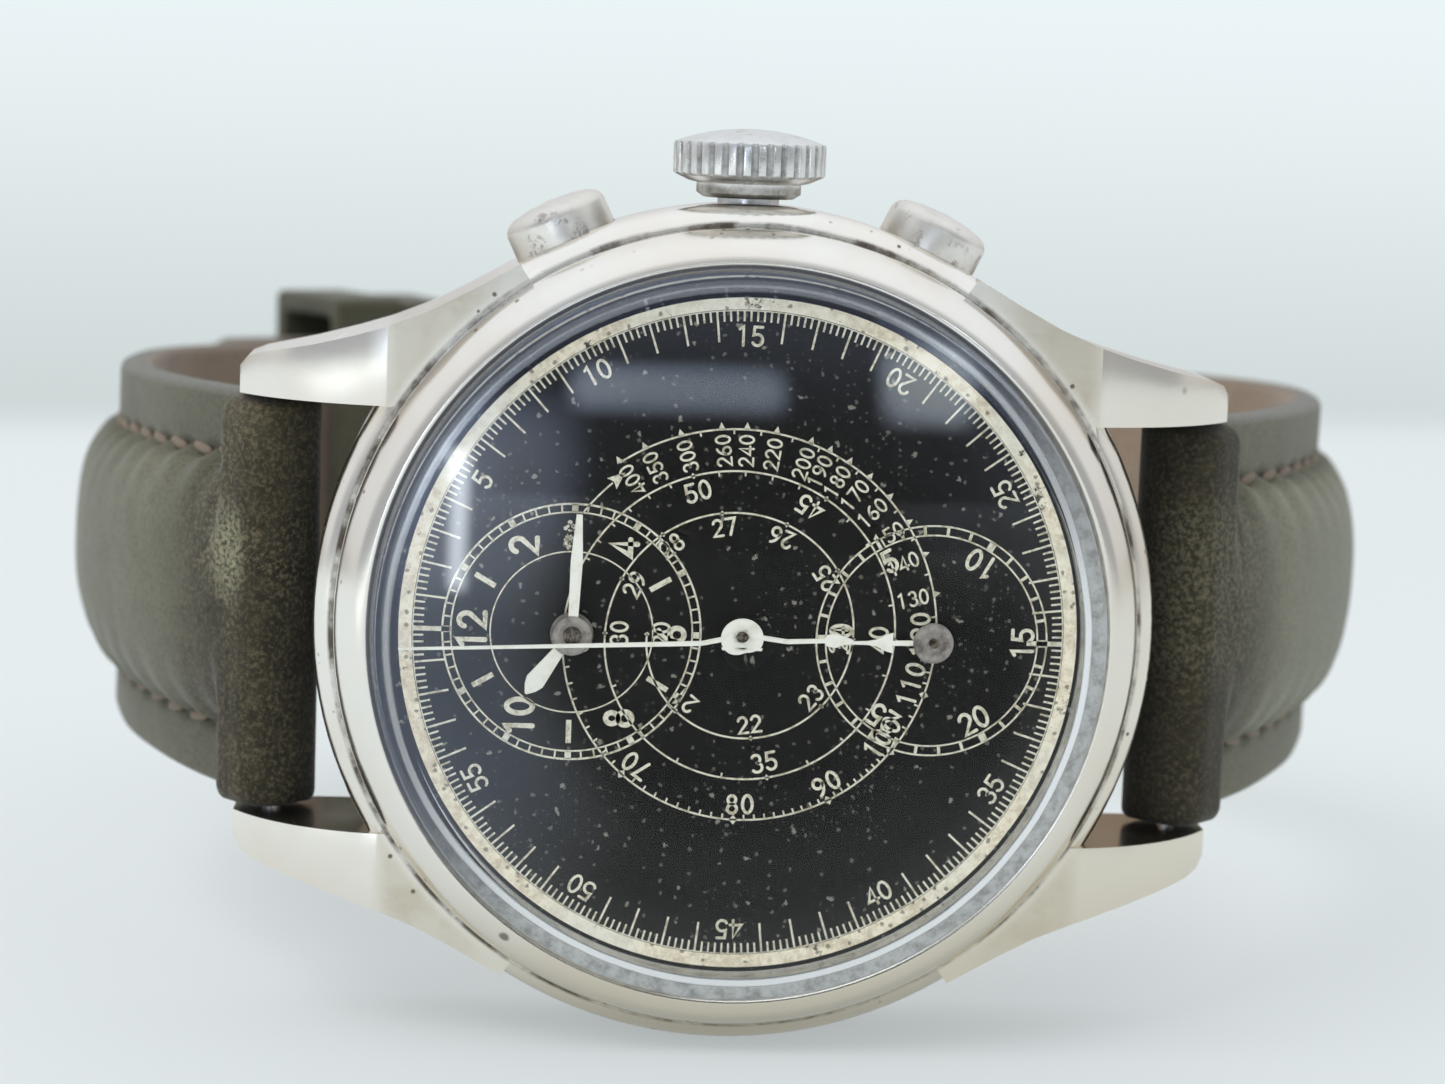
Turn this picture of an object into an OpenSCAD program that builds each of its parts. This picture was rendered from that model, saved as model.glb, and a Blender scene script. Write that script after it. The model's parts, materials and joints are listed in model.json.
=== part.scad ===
// Mechanical wrist chronograph on a padded leather strap.
// Frame: origin at the centre of the flat case back, +Y out of the case back
// towards the wrist, dial faces -Y, +Z towards the crown (3 o'clock),
// -X towards 12 o'clock, +X towards 6 o'clock. Millimetres.

/* [Case] */
// Outer diameter of the case, without crown and pushers
case_diameter = 35.5; // [35.3:0.1:36]
// Clear width between the lugs
lug_gap = 18; // [18:0.05:18.2]
// Height of the crystal's top over the case back
crystal_top = 12.3; // [12.2:0.05:12.6]

/* [Crown and pushers] */
// Diameter over the crown's fluted rim
crown_diameter = 6.4; // [6:0.1:6.8]
// Number of grooves around the crown
crown_grooves = 32; // [24:1:36]
// Diameter of the two pusher caps
pusher_diameter = 4.4; // [4.2:0.1:4.5]
// Angle between the crown and each pusher
pusher_angle = 25.5; // [25:0.5:26]

/* [Dial and hands] */
// Length of the chronograph seconds hand
seconds_length = 14.0; // [13:0.1:14]
// Length of the minute hand
minute_length = 4.98; // [4.5:0.1:5.2]
// Length of the hour hand
hour_length = 3.1; // [2.8:0.1:3.4]
// Length of the minute counter hand
counter_length = 3.65; // [3.2:0.1:3.8]

/* [Strap] */
// Leather width at the lugs
strap_width = 17.7; // [17.5:0.1:17.8]
// Thickness of the padded part at the lugs
strap_padding = 4.0; // [3.8:0.1:4.1]

/* [Hidden] */

$fn = 64;

nickel = [0.78, 0.76, 0.72];
brass = [0.80, 0.68, 0.42];
steel = [0.62, 0.63, 0.65];
cream = [0.90, 0.86, 0.76];
leather = [0.36, 0.36, 0.30];
lining = [0.55, 0.43, 0.36];
ruby = [0.75, 0.15, 0.3];

case_radius = case_diameter / 2;
case_bore = 14.8;
stem_height = 4.5;              // stem and pusher axes over the back
spring_bar_x = 19.6;
spring_bar_height = 2.4;
start_angle = 90 + pusher_angle;
reset_angle = 90 - pusher_angle;
pusher_angles = [start_angle, reset_angle];

// ------------------------------------------------------------ points and directions
function dir(a) = [cos(a), sin(a)];
function unit(v) = v / norm(v);
function angle_of(v) = atan2(v[1], v[0]);
function turn(p, centre, a) = let (d = p - centre)
  centre + [d[0] * cos(a) - d[1] * sin(a), d[0] * sin(a) + d[1] * cos(a)];
function reversed(list) = [for (i = [len(list) - 1:-1:0]) list[i]];
// outline closed by the mirror image of its points in the x axis
function mirrored(half) = concat(half, [for (p = reversed(half)) [p[0], -p[1]]]);
function dome_radius(edge_radius, rise) = (edge_radius * edge_radius + rise * rise) / (2 * rise);

// ------------------------------------------------------------ gearing
// tooth counts; "mod" is a gear's pitch diameter per tooth
pinion_teeth = 10;              // centre, third, fourth and minute work pinions
barrel_teeth = 80;
centre_teeth = 80;
third_teeth = 75;
fourth_teeth = 80;
escape_pinion_teeth = 8;
cannon_teeth = 12;
minute_work_teeth = 36;
hour_teeth = 40;
ratchet_teeth = 33;
crown_wheel_teeth = 22;
runner_teeth = 70;              // also the driving wheel on the fourth arbor
clutch_teeth = 40;
idler_teeth = 24;
counter_teeth = 30;
centre_mod = 0.1;
third_mod = 0.09;
fourth_mod = 0.075;
cannon_mod = 0.1;
hour_mod = 0.096;
counter_mod = 0.15;
chrono_mod = 4.6 / runner_teeth;

function spacing(teeth_a, teeth_b, mod) = (teeth_a + teeth_b) / 2 * mod;
function mod_for(distance, teeth_a, teeth_b) = 2 * distance / (teeth_a + teeth_b);
// phase of a wheel that meshes with one of driver_teeth at phase 0, seen from it in direction d
function mesh(driver_teeth, teeth, d) = d + 180 - (0.5 - d * driver_teeth / 360) * 360 / teeth;

// ------------------------------------------------------------ pivots of the movement
// [x towards 6 o'clock, y towards 3 o'clock]
third_angle = -80;              // direction of each pivot from the one that drives it
fourth_angle = -20;
escape_angle = -10;
minute_work_angle = 60;
runner_axis = [0, 0];
time_axis = [-6.9, 0];          // centre wheel, hour and minute hands
idler_axis = [3.9, 0];
counter_axis = idler_axis + [spacing(idler_teeth, counter_teeth, counter_mod), 0];
barrel_axis = [-6.4, 5.38];
third_axis = time_axis + spacing(centre_teeth, pinion_teeth, centre_mod) * dir(third_angle);
fourth_axis = third_axis + spacing(third_teeth, pinion_teeth, third_mod) * dir(fourth_angle);
escape_axis = fourth_axis
  + spacing(fourth_teeth, escape_pinion_teeth, fourth_mod) * dir(escape_angle);
balance_axis = [6.3, -7.6];
to_balance = unit(balance_axis - escape_axis);
pallet_axis = escape_axis + 2.54 * to_balance;
minute_work_axis = time_axis
  + spacing(cannon_teeth, minute_work_teeth, cannon_mod) * dir(minute_work_angle);
crown_wheel_axis = [-1.6, 8.2];
barrel_mod = mod_for(norm(barrel_axis - time_axis), barrel_teeth, pinion_teeth);
ratchet_mod = mod_for(norm(crown_wheel_axis - barrel_axis), ratchet_teeth, crown_wheel_teeth);

// engaged, the clutch wheel meshes with both the fourth arbor's wheel and the runner;
// it is drawn at rest, swung away about the clutch lever's pivot
clutch_swing = 2.64;
to_fourth = unit(fourth_axis);
clutch_height = sqrt(pow(spacing(runner_teeth, clutch_teeth, chrono_mod), 2)
  - pow(norm(fourth_axis) / 2, 2));
clutch_engaged = fourth_axis / 2 + clutch_height * [to_fourth[1], -to_fourth[0]];
clutch_pivot = fourth_axis + 2.9 * unit(fourth_axis - clutch_engaged);
clutch_axis = turn(clutch_engaged, clutch_pivot, clutch_swing);

column_axis = [-7.5, 10.6];
operating_pivot = [-11.6, 7.0];
hammer_pivot = [11.0, 5.6];
setting_pivot = [3.2, 11.4];
click_pivot = [-11.35, 2.6];

// ------------------------------------------------------------ drawing helpers
// children are drawn with z as height over the case back, towards the dial
module case_frame() { rotate([90, 0, 0]) children(); }
module at(p, z = 0) { translate([p[0], p[1], z]) children(); }
module disc(r, z0, z1) { translate([0, 0, z0]) cylinder(r = r, h = z1 - z0); }
module ring(outer, inner, z0, z1) {
  difference() {
    disc(outer, z0, z1);
    disc(inner, z0 - 1, z1 + 1);
  }
}
// children drawn along +z at the stem's axis are laid along +y
module along_stem() { translate([0, 0, stem_height]) rotate([-90, 0, 0]) children(); }
// rod along y through p = [x, z]
module rod_y(p, y0, y1, r) {
  translate([p[0], y0, p[1]]) rotate([-90, 0, 0]) cylinder(r = r, h = y1 - y0);
}
// children drawn along +z are laid outwards at angle a, at the stem's height
module radial(a) {
  rotate([0, 0, a]) translate([0, 0, stem_height]) rotate([0, 90, 0]) children();
}
// straight bar of width w from p to q
module bar(p, q, w, z0, z1) {
  at(p, z0) rotate([0, 0, angle_of(q - p)])
    translate([0, -w / 2, 0]) cube([norm(q - p), w, z1 - z0]);
}
// corners of a tooth: share of the tooth pitch, height over the pitch circle in mods
tooth = [[-0.27, -1.15], [-0.10, 0.85], [0.10, 0.85], [0.27, -1.15]];
module gear(teeth, mod, phase, z0, z1) {
  translate([0, 0, z0]) linear_extrude(z1 - z0)
    polygon([for (i = [0:teeth - 1]) for (corner = tooth)
      mod * (teeth / 2 + corner[1]) * dir(phase + (i + corner[0]) * 360 / teeth)]);
}
// n round openings of radius r at distance d from the axis
module crossings(n, r, d, z0, z1) {
  for (i = [0:n - 1]) rotate([0, 0, i * 360 / n]) translate([d, 0, 0]) disc(r, z0 - 1, z1 + 1);
}
module wheel(teeth, mod, phase, z0, z1, openings = 5) {
  pitch_radius = teeth * mod / 2;
  difference() {
    gear(teeth, mod, phase, z0, z1);
    crossings(openings, pitch_radius * 0.27, pitch_radius * 0.56, z0, z1);
  }
}
// flat spiral strip of the given width, n segments long
module spiral(n, turns, r0, r1, width) {
  function edge(i, extra) = (r0 + (r1 - r0) * i / n + extra) * dir(i * turns * 360 / n);
  polygon(concat([for (i = [0:n]) edge(i, width)], [for (i = [n:-1:0]) edge(i, 0)]));
}

// ------------------------------------------------------------ case
// plan of one lug: [x, y] from the gap's inner end, round the tip and back along the outside
lug_plan = [
  [11, lug_gap / 2], [21.15, lug_gap / 2], [21.15, 10.15], [20.8, 10.6], [20.2, 10.85],
  [18, 11.35], [16.2, 11.85], [14.8, 12.3], [13.1, 13.0], [11.5, 13.85], [9.5, 15.0],
  [8.8, 14.0]];
// sections below: [radius, height]
midcase_section = [
  [case_bore, 1.0], [case_radius - 1.0, 1.0], [case_radius - 0.35, 2.1], [case_radius, 3.7],
  [case_radius, 6.45], [case_radius - 0.12, 6.95], [case_radius - 0.4, 7.3],
  [case_radius - 0.75, 7.5], [case_bore, 7.5]];
bezel_section = [
  [14.85, 7.5], [case_radius - 0.95, 7.5], [case_radius - 0.88, 7.72], [case_radius - 1.0, 8.25],
  [case_radius - 1.35, 8.9], [15.85, 9.5], [15.5, 9.64], [15.16, 9.55], [15.16, 8.85],
  [14.85, 8.85]];
crystal_section = [[0, 8.87], [15.1, 8.87], [15.1, 10.35], [14.9, 10.7], [14.5, 13], [0, 13]];
back_section = [
  [0, 0], [12.5, 0], [15.0, 0.3], [16.4, 0.98], [15.5, 0.98], [15.5, 1.8], [14.9, 1.8],
  [14.9, 0.8], [0, 0.8]];

// lug in the quadrant given by the signs of x and y
module lug(sx, sy) {
  plan = sx * sy > 0 ? lug_plan : reversed(lug_plan);
  intersection() {
    translate([0, 0, 0.4]) linear_extrude(7.1) polygon([for (p = plan) [sx * p[0], sy * p[1]]]);
    // rounded top, full height near the case
    union() {
      translate([sx * 13.5, 30, -1.37]) rotate([90, 0, 0]) cylinder(r = 8.97, h = 60);
      translate([sx * 11.25 - 2.75, -30, -1]) cube([5.5, 60, 8.6]);
    }
    // underside rises towards the case
    translate([sx * 30, 0, -22.4]) rotate([90, 0, 0]) difference() {
      translate([-40, 0, -30]) cube([80, 40, 60]);
      translate([0, 0, -31]) cylinder(r = 24.4, h = 62);
    }
  }
}
module midcase() color(nickel) case_frame() difference() {
  union() {
    rotate_extrude() polygon(midcase_section);
    for (sx = [-1, 1]) for (sy = [-1, 1]) lug(sx, sy);
  }
  disc(case_bore, 0, 8);
  disc(15.56, 0, 1.85);
  disc(16.5, 0, 0.995);
  for (sx = [-1, 1]) rod_y([sx * spring_bar_x, spring_bar_height], -10.1, 10.1, 0.45);
  for (a = pusher_angles) radial(a) {
    translate([0, 0, 16.4]) cylinder(r = pusher_diameter / 2 + 0.06, h = 3);
    translate([0, 0, 13]) cylinder(r = 1.2, h = 4);
  }
  rod_y([0, stem_height], 13, 19, 1.3);
}
module bezel() color(nickel) case_frame() rotate_extrude() polygon(bezel_section);
module crystal() color([0.9, 0.95, 1, 0.3]) case_frame() {
  inner_top = crystal_top - 1.0;
  outer_dome = dome_radius(14.9, crystal_top - 10.6);
  inner_dome = dome_radius(14.1, inner_top - 10.2);
  difference() {
    intersection() {
      rotate_extrude() polygon(crystal_section);
      translate([0, 0, crystal_top - outer_dome]) sphere(outer_dome);
    }
    intersection() {
      disc(14.1, 8, 13);
      translate([0, 0, inner_top - inner_dome]) sphere(inner_dome);
    }
  }
}
module case_back() color(nickel) case_frame() rotate_extrude() polygon(back_section);
module case_tubes() color(steel) case_frame() {
  difference() {
    rod_y([0, stem_height], 14.9, 18.3, 1.3);
    rod_y([0, stem_height], 14, 19, 0.66);
  }
  for (a = pusher_angles) radial(a) difference() {
    translate([0, 0, 14.9]) cylinder(r = 1.2, h = 1.5);
    translate([0, 0, 14]) cylinder(r = 0.72, h = 4);
  }
}
module spring_bars() color(steel) case_frame() for (sx = [-1, 1]) {
  rod_y([sx * spring_bar_x, spring_bar_height], -8.6, 8.6, 0.75);
  rod_y([sx * spring_bar_x, spring_bar_height], -10.0, 10.0, 0.42);
}

// ------------------------------------------------------------ crown, stem and keyless works
module crown() color(nickel) case_frame() along_stem() {
  rim = crown_diameter / 2;
  dome = dome_radius(rim, 0.6);
  difference() {
    intersection() {
      // [radius, distance from the case's centre]
      rotate_extrude() polygon([
        [0, 17.95], [1.9, 17.95], [2.2, 18.15], [2.2, 18.55], [2.55, 18.62], [rim - 0.15, 18.85],
        [rim, 18.95], [rim, 20.1], [rim - 0.05, 20.3], [rim - 0.6, 21.2], [0, 21.2]]);
      union() {
        translate([0, 0, 20.82 - dome]) sphere(dome);
        disc(rim + 1, 17, 20.0);
      }
    }
    for (i = [0:crown_grooves - 1]) rotate([0, 0, i * 360 / crown_grooves])
      translate([rim + 0.04, 0, 18.4]) cylinder(r = 0.17, h = 2.0);
    disc(1.36, 17, 18.95);
    disc(0.6, 18, 19.9);
  }
}
module winding_stem() color(steel) case_frame() difference() {
  union() {
    rod_y([0, stem_height], 9.5, 19.9, 0.6);
    rod_y([0, stem_height], 6.7, 7.5, 0.4);
    translate([-0.42, 7.5, stem_height - 0.42]) cube([0.84, 2.0, 0.84]);
  }
  // groove for the setting lever's pin
  translate([0, 12.0, stem_height]) rotate([-90, 0, 0]) ring(1, 0.35, 0, 0.55);
}
module winding_pinion() color(steel) case_frame() along_stem() difference() {
  union() {
    gear(14, 0.185, 0, 9.7, 10.3);
    disc(1.0, 9.6, 10.7);
  }
  disc(0.63, 9, 12);
}
module sliding_pinion() color(steel) case_frame() along_stem() difference() {
  union() {
    disc(1.1, 7.7, 8.3);
    disc(0.8, 8.2, 8.8);
    disc(1.05, 8.7, 9.4);
  }
  translate([-0.45, -0.45, 7]) cube([0.9, 0.9, 3]);
  ring(2, 0.85, 8.3, 8.7);
}
module setting_lever() color(steel) case_frame() {
  pin = [0, 12.275];
  difference() {
    union() {
      bar(setting_pivot, pin, 0.76, 7.1, 7.4);
      at(setting_pivot) disc(0.75, 7.1, 7.4);
      at(pin) disc(0.45, 7.1, 7.4);
      at(pin) disc(0.22, 4.92, 7.2);
    }
    at(setting_pivot) disc(0.33, 6, 8);
  }
}
module crown_wheel() color(steel) case_frame() at(crown_wheel_axis) difference() {
  phase = mesh(ratchet_teeth, crown_wheel_teeth, angle_of(crown_wheel_axis - barrel_axis));
  gear(crown_wheel_teeth, ratchet_mod, phase, 2.6, 2.95);
  disc(0.66, 2, 4);
}

// ------------------------------------------------------------ pushers
module pusher(a) case_frame() radial(a) {
  cap = pusher_diameter / 2;
  difference() {
    // cap with a rounded rim: [radius, distance from the case's centre]
    rotate_extrude() polygon([
      [0, 17.35], [cap, 17.35], [cap, 18.68], [cap - 0.05, 18.87], [cap - 0.17, 19.04],
      [cap - 0.36, 19.17], [cap - 0.62, 19.26], [cap - 1.1, 19.36], [0, 19.45]]);
    translate([0, 0, 17]) ring(1.8, 0.68, 0, 1.75);
  }
  translate([0, 0, 15.2]) cylinder(r = 0.68, h = 2.6);
  translate([0, 0, 13.9]) cylinder(r = 0.45, h = 1.5);
}
module start_pusher() color(nickel) pusher(start_angle);
module reset_pusher() color(nickel) pusher(reset_angle);
module pusher_springs() color(steel) case_frame() for (a = pusher_angles) radial(a)
  translate([0, 0, 16.45]) linear_extrude(height = 1.35, twist = -1080, slices = 54, $fn = 10)
    translate([1.28, 0]) circle(r = 0.16);

// ------------------------------------------------------------ strap and buckle
// The strap follows a loop in the XY plane. Angle t: 90 at the back of the loop (+Y);
// past the overlap the 6 o'clock strap lies outside the 12 o'clock strap.
loop_half_width = 30.3;
loop_centre_y = 24;
loop_front = 34.6;              // depth towards -Y
loop_back = 21;                 // depth towards +Y
loop_shift = 1.3;               // the back of the loop is shifted towards +X
lug_angle_12 = 229.75;
lug_angle_6 = -49.75;
buckle_angle = 108;
overlap_start = 70;
buckle_thickness = 2.4;         // of the 12 o'clock strap at the buckle
tail_thickness = 1.9;           // of the 6 o'clock strap beyond tail_start
tail_start = 75;
lining_12 = 0.7;
lining_6 = 0.6;
strap_half = strap_width / 2;
strap_narrowing = 1.15;         // loss of half width from the lugs to strap_end_y
strap_end_y = 52;
blank = 30;                     // width of the strap before it is tapered
through = 40;                   // length of holes across the strap
bar_12 = [-spring_bar_x, -spring_bar_height];
bar_6 = [spring_bar_x, -spring_bar_height];

function clamp(x) = min(1, max(0, x));
function smooth(x) = let (u = clamp(x)) u * u * (3 - 2 * u);
function loop(t) = [
  loop_half_width * cos(t) + loop_shift * clamp((sin(t) + 0.7626) / 0.7626),
  loop_centre_y + (sin(t) < 0 ? loop_front : loop_back) * sin(t)];
function outward(t) = let (d = loop(t + 0.5) - loop(t - 0.5)) unit([d[1], -d[0]]);
function loop_point(t, distance) = loop(t) + outward(t) * distance;
function thick_12(t) = buckle_thickness
  + (strap_padding - buckle_thickness) * (t - buckle_angle) / (lug_angle_12 - buckle_angle);
function thick_6(t) = t > tail_start ? tail_thickness : tail_thickness
  + (strap_padding - tail_thickness) * (tail_start - t) / (tail_start - lug_angle_6);
// distance of the 6 o'clock strap's middle outside the loop
function offset_6(t) = (thick_12(max(t, buckle_angle)) / 2 + 0.3 + tail_thickness / 2)
  * smooth((t - overlap_start) / (buckle_angle - overlap_start));
function middle_6(t) = loop_point(t, offset_6(t));
function steps(from, to, n) = [for (i = [0:n]) from + (to - from) * i / n];

buckle_pin = loop(buckle_angle);
buckle_rail = buckle_pin + [9.7, 4.25];
angles_12 = steps(lug_angle_12 - 0.4, buckle_angle + 1, 30);
angles_6 = steps(lug_angle_6 + 0.4, 150, 44);
lining_angles_12 = [for (t = angles_12) if (t < 221 && t > buckle_angle + 3) t];
lining_angles_6 = [for (t = angles_6) if (t > -41 && t < 149) t];

module band(outer, inner) {
  linear_extrude(blank, center = true) polygon(concat(outer, reversed(inner)));
}
// envelope that narrows the strap from the lugs to the back of the loop
module taper() {
  narrow = strap_half - strap_narrowing;
  rotate([90, 0, 90]) linear_extrude(120, center = true)
    polygon(mirrored([[-8, -strap_half], [-spring_bar_height, -strap_half],
      [strap_end_y, -narrow]]));
}
// cylinder across the strap, along Z
module pin(p, r, length) {
  translate([p[0], p[1], 0]) cylinder(r = r, h = length, center = true);
}
module strap_12_leather() color(leather) intersection() {
  difference() {
    union() {
      band([for (t = angles_12) loop_point(t, thick_12(t) / 2)],
        [for (t = angles_12) loop_point(t, lining_12 - thick_12(t) / 2)]);
      pin(bar_12, 2.05, blank);
      pin(buckle_pin, 1.2, blank);
    }
    pin(bar_12, 0.8, through);
    pin(buckle_pin, 0.52, through);
    // slot for the tongue
    translate([buckle_pin[0] + 0.4, buckle_pin[1], 0]) cube([3.8, 4, 1.9], center = true);
  }
  taper();
}
module strap_12_lining() color(lining) intersection() {
  difference() {
    band([for (t = lining_angles_12) loop_point(t, lining_12 - thick_12(t) / 2)],
      [for (t = lining_angles_12) loop_point(t, -thick_12(t) / 2)]);
    pin(bar_12, 2.1, through);
    pin(buckle_pin, 1.25, through);
  }
  taper();
}
module strap_hole(t) {
  at(middle_6(t)) rotate([0, 0, angle_of(outward(t))]) rotate([0, 90, 0])
    cylinder(r = 0.75, h = 6, center = true);
}
module strap_slot(t0, t1) {
  a = middle_6(t0);
  b = middle_6(t1);
  at((a + b) / 2) rotate([0, 0, angle_of(b - a)]) cube([norm(b - a), 7, 1.8], center = true);
}
module strap_6_cuts() {
  for (t = [88, 111, 118.5, 126, 133.5]) strap_hole(t);
  strap_slot(96.5, 104);
}
module strap_6_leather() color(leather) intersection() {
  difference() {
    union() {
      band([for (t = angles_6) loop_point(t, offset_6(t) + thick_6(t) / 2)],
        [for (t = angles_6) loop_point(t, offset_6(t) + lining_6 - thick_6(t) / 2)]);
      pin(bar_6, 2.05, blank);
    }
    pin(bar_6, 0.8, through);
    strap_6_cuts();
  }
  taper();
}
module strap_6_lining() color(lining) intersection() {
  difference() {
    band([for (t = lining_angles_6) loop_point(t, offset_6(t) + lining_6 - thick_6(t) / 2)],
      [for (t = lining_angles_6) loop_point(t, offset_6(t) - thick_6(t) / 2)]);
    pin(bar_6, 2.1, through);
    strap_6_cuts();
  }
  taper();
}
// a loop of leather round both strap ends; lift widens it towards +Z
module keeper(t, wide, lift) {
  p = loop(t);
  low = -thick_12(t) / 2 - 0.3;
  high = offset_6(t) + tail_thickness / 2 + 0.22;
  half = strap_half + 0.3
    - strap_narrowing * (p[1] + spring_bar_height) / (strap_end_y + spring_bar_height);
  at(p) rotate([0, 0, angle_of(outward(t))]) difference() {
    translate([low - 0.9, -wide / 2, -half - 1.0])
      cube([high - low + 1.9, wide, 2 * half + 2.1 + lift]);
    translate([low, -wide / 2 - 1, -half]) cube([high - low, wide + 2, 2 * half + lift]);
  }
}
module fixed_keeper() color(leather) keeper(122.8, 3.2, 0.9);
module sliding_keeper() color(leather) keeper(131.4, 4.0, 1.1);
module buckle_frame() color(nickel) {
  side = buckle_rail - buckle_pin;
  for (s = [-1, 1]) difference() {
    union() {
      at(buckle_pin, s * 8.95) rotate([0, 0, angle_of(side)])
        translate([0, -0.65, -0.6]) cube([norm(side), 1.3, 1.2]);
      at(buckle_pin, s * 8.95 - 0.6) cylinder(r = 1.0, h = 1.2);
    }
    pin(buckle_pin, 0.54, through);
  }
  pin(buckle_rail, 0.75, 19.1);
}
// side view of the tongue: [x, y] from the buckle bar
tongue_outline = [
  [0.2, -0.95], [3.0, -0.1], [3.9, 0.7], [5.3, 3.75], [5.9, 4.35], [10.6, 5.3], [10.9, 5.55],
  [10.8, 6.0], [5.5, 5.2], [4.6, 4.5], [3.2, 1.6], [2.6, 0.95], [0.2, 0.9]];
module buckle_tongue() color(nickel) difference() {
  union() {
    pin(buckle_pin, 1.0, 1.4);
    at(buckle_pin, -0.7) linear_extrude(1.4) polygon(tongue_outline);
  }
  pin(buckle_pin, 0.54, through);
}
module buckle_bar() color(steel) pin(buckle_pin, 0.5, 19.0);

// ------------------------------------------------------------ dial and hands
module dial() color([0.05, 0.05, 0.05]) case_frame() difference() {
  disc(14.7, 8.15, 8.55);
  disc(0.5, 8, 9);
  at(time_axis) disc(0.75, 8, 9);
  at(counter_axis) disc(0.4, 8, 9);
}
// hand with a round hub; outline points are [along the hand, across it]
module hand(axis, z0, z1, angle, hub, bore, outline) {
  case_frame() at(axis, z0) rotate([0, 0, angle]) linear_extrude(z1 - z0) difference() {
    union() {
      circle(r = hub);
      polygon(outline);
    }
    circle(r = bore);
  }
}
module hour_hand() color(cream) {
  tip = hour_length;
  hand(time_axis, 8.95, 9.12, -126, hub = 0.88, bore = 0.56, outline = mirrored([
    [0, -0.2], [0.9, -0.23], [tip - 0.62, -0.4], [tip - 0.3, -0.27], [tip, -0.04]]));
}
module minute_hand() color(cream) {
  tip = minute_length;
  hand(time_axis, 9.35, 9.5, 88.2, hub = 0.8, bore = 0.38, outline = mirrored([
    [0, -0.19], [0.8, -0.2], [tip * 0.62, -0.245], [tip, -0.12]]));
}
module seconds_hand() color(cream) {
  hand(runner_axis, 9.95, 10.1, 182.6, hub = 0.87, bore = 0.25,
    outline = concat([[-4.56, 0]], mirrored([
      [-4.2, -0.17], [-3.8, -0.29], [-3.5, -0.24], [-3.35, -0.085], [0, -0.1],
      [seconds_length, -0.05]])));
}
module counter_hand() color(cream) {
  hand(counter_axis, 9.0, 9.15, 181, hub = 0.83, bore = 0.2, outline = mirrored([
    [0, -0.1], [1.7, -0.1], [1.66, -0.42], [1.95, -0.34], [2.35, -0.14], [2.7, -0.075],
    [counter_length, -0.05]]));
}

// ------------------------------------------------------------ plates and bridges
plate_low = 5.6;                // underside of the mainplate, where the bridges stand
bridge_low = 3.0;
bridge_radius = 14.5;
barrel_feet = [[-13.0, 3.5], [8.2, 10.5], [12.4, 4.5], [3.4, 8.0]];
train_feet = [[-13.2, -2.4], [-7.6, -10.9], [-1.1, -13.0], [12.9, -0.6]];
cock_foot = [12.2, -4.4];
chrono_feet = [[-2.9, 2.6], [11.2, 0.9]];
pallet_feet = [for (s = [1, -1]) pallet_axis + s * 2.45 * [to_balance[1], -to_balance[0]]];
// [underside, outer radius, thickness, [[axis, bore radius], ...]]
jewel_sets = [
  [bridge_low, 0.5, 0.3,
    [[time_axis, 0.145], [third_axis, 0.14], [fourth_axis, 0.235], [escape_axis, 0.14]]],
  [3.3, 0.4, 0.2, [[pallet_axis, 0.14]]],
  [1.1, 0.5, 0.3, [[balance_axis, 0.12]]],
  [1.0, 0.5, 0.3, [[runner_axis, 0.14], [counter_axis, 0.14], [idler_axis, 0.14]]],
  [plate_low, 0.6, 0.3,
    [[third_axis, 0.14], [fourth_axis, 0.14], [escape_axis, 0.14], [pallet_axis, 0.14],
     [balance_axis, 0.12]]]];

module mainplate() color(brass) case_frame() difference() {
  union() {
    disc(14.6, plate_low, 7.0);
    // two bearing blocks for the stem
    translate([-1.2, 6.6, 3.9]) cube([2.4, 0.85, 2]);
    translate([-1.9, 12.75, 3.9]) cube([3.8, 1.3, 2]);
    at(setting_pivot) disc(0.3, 6.8, 7.6);
    at(minute_work_axis) disc(0.2, 6.8, 7.95);
  }
  disc(0.55, 5, 8);
  at(time_axis) disc(0.55, 5, 8);
  at(counter_axis) disc(0.35, 5, 8);
  at(barrel_axis) disc(0.53, 5, 6.3);
  for (p = [third_axis, fourth_axis, escape_axis, pallet_axis, balance_axis]) at(p) {
    disc(0.6, 5, 5.9);
    disc(0.25, 5, 6.4);
  }
  translate([-1.65, 7.45, 5]) cube([3.3, 3.4, 1.1]);
  translate([-0.8, 11.6, 4.8]) cube([1.6, 1.7, 3]);
  rod_y([0, stem_height], 6, 16, 0.63);
  translate([-1.95, 14.05, 3]) cube([3.9, 2, 5]);
}
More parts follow.
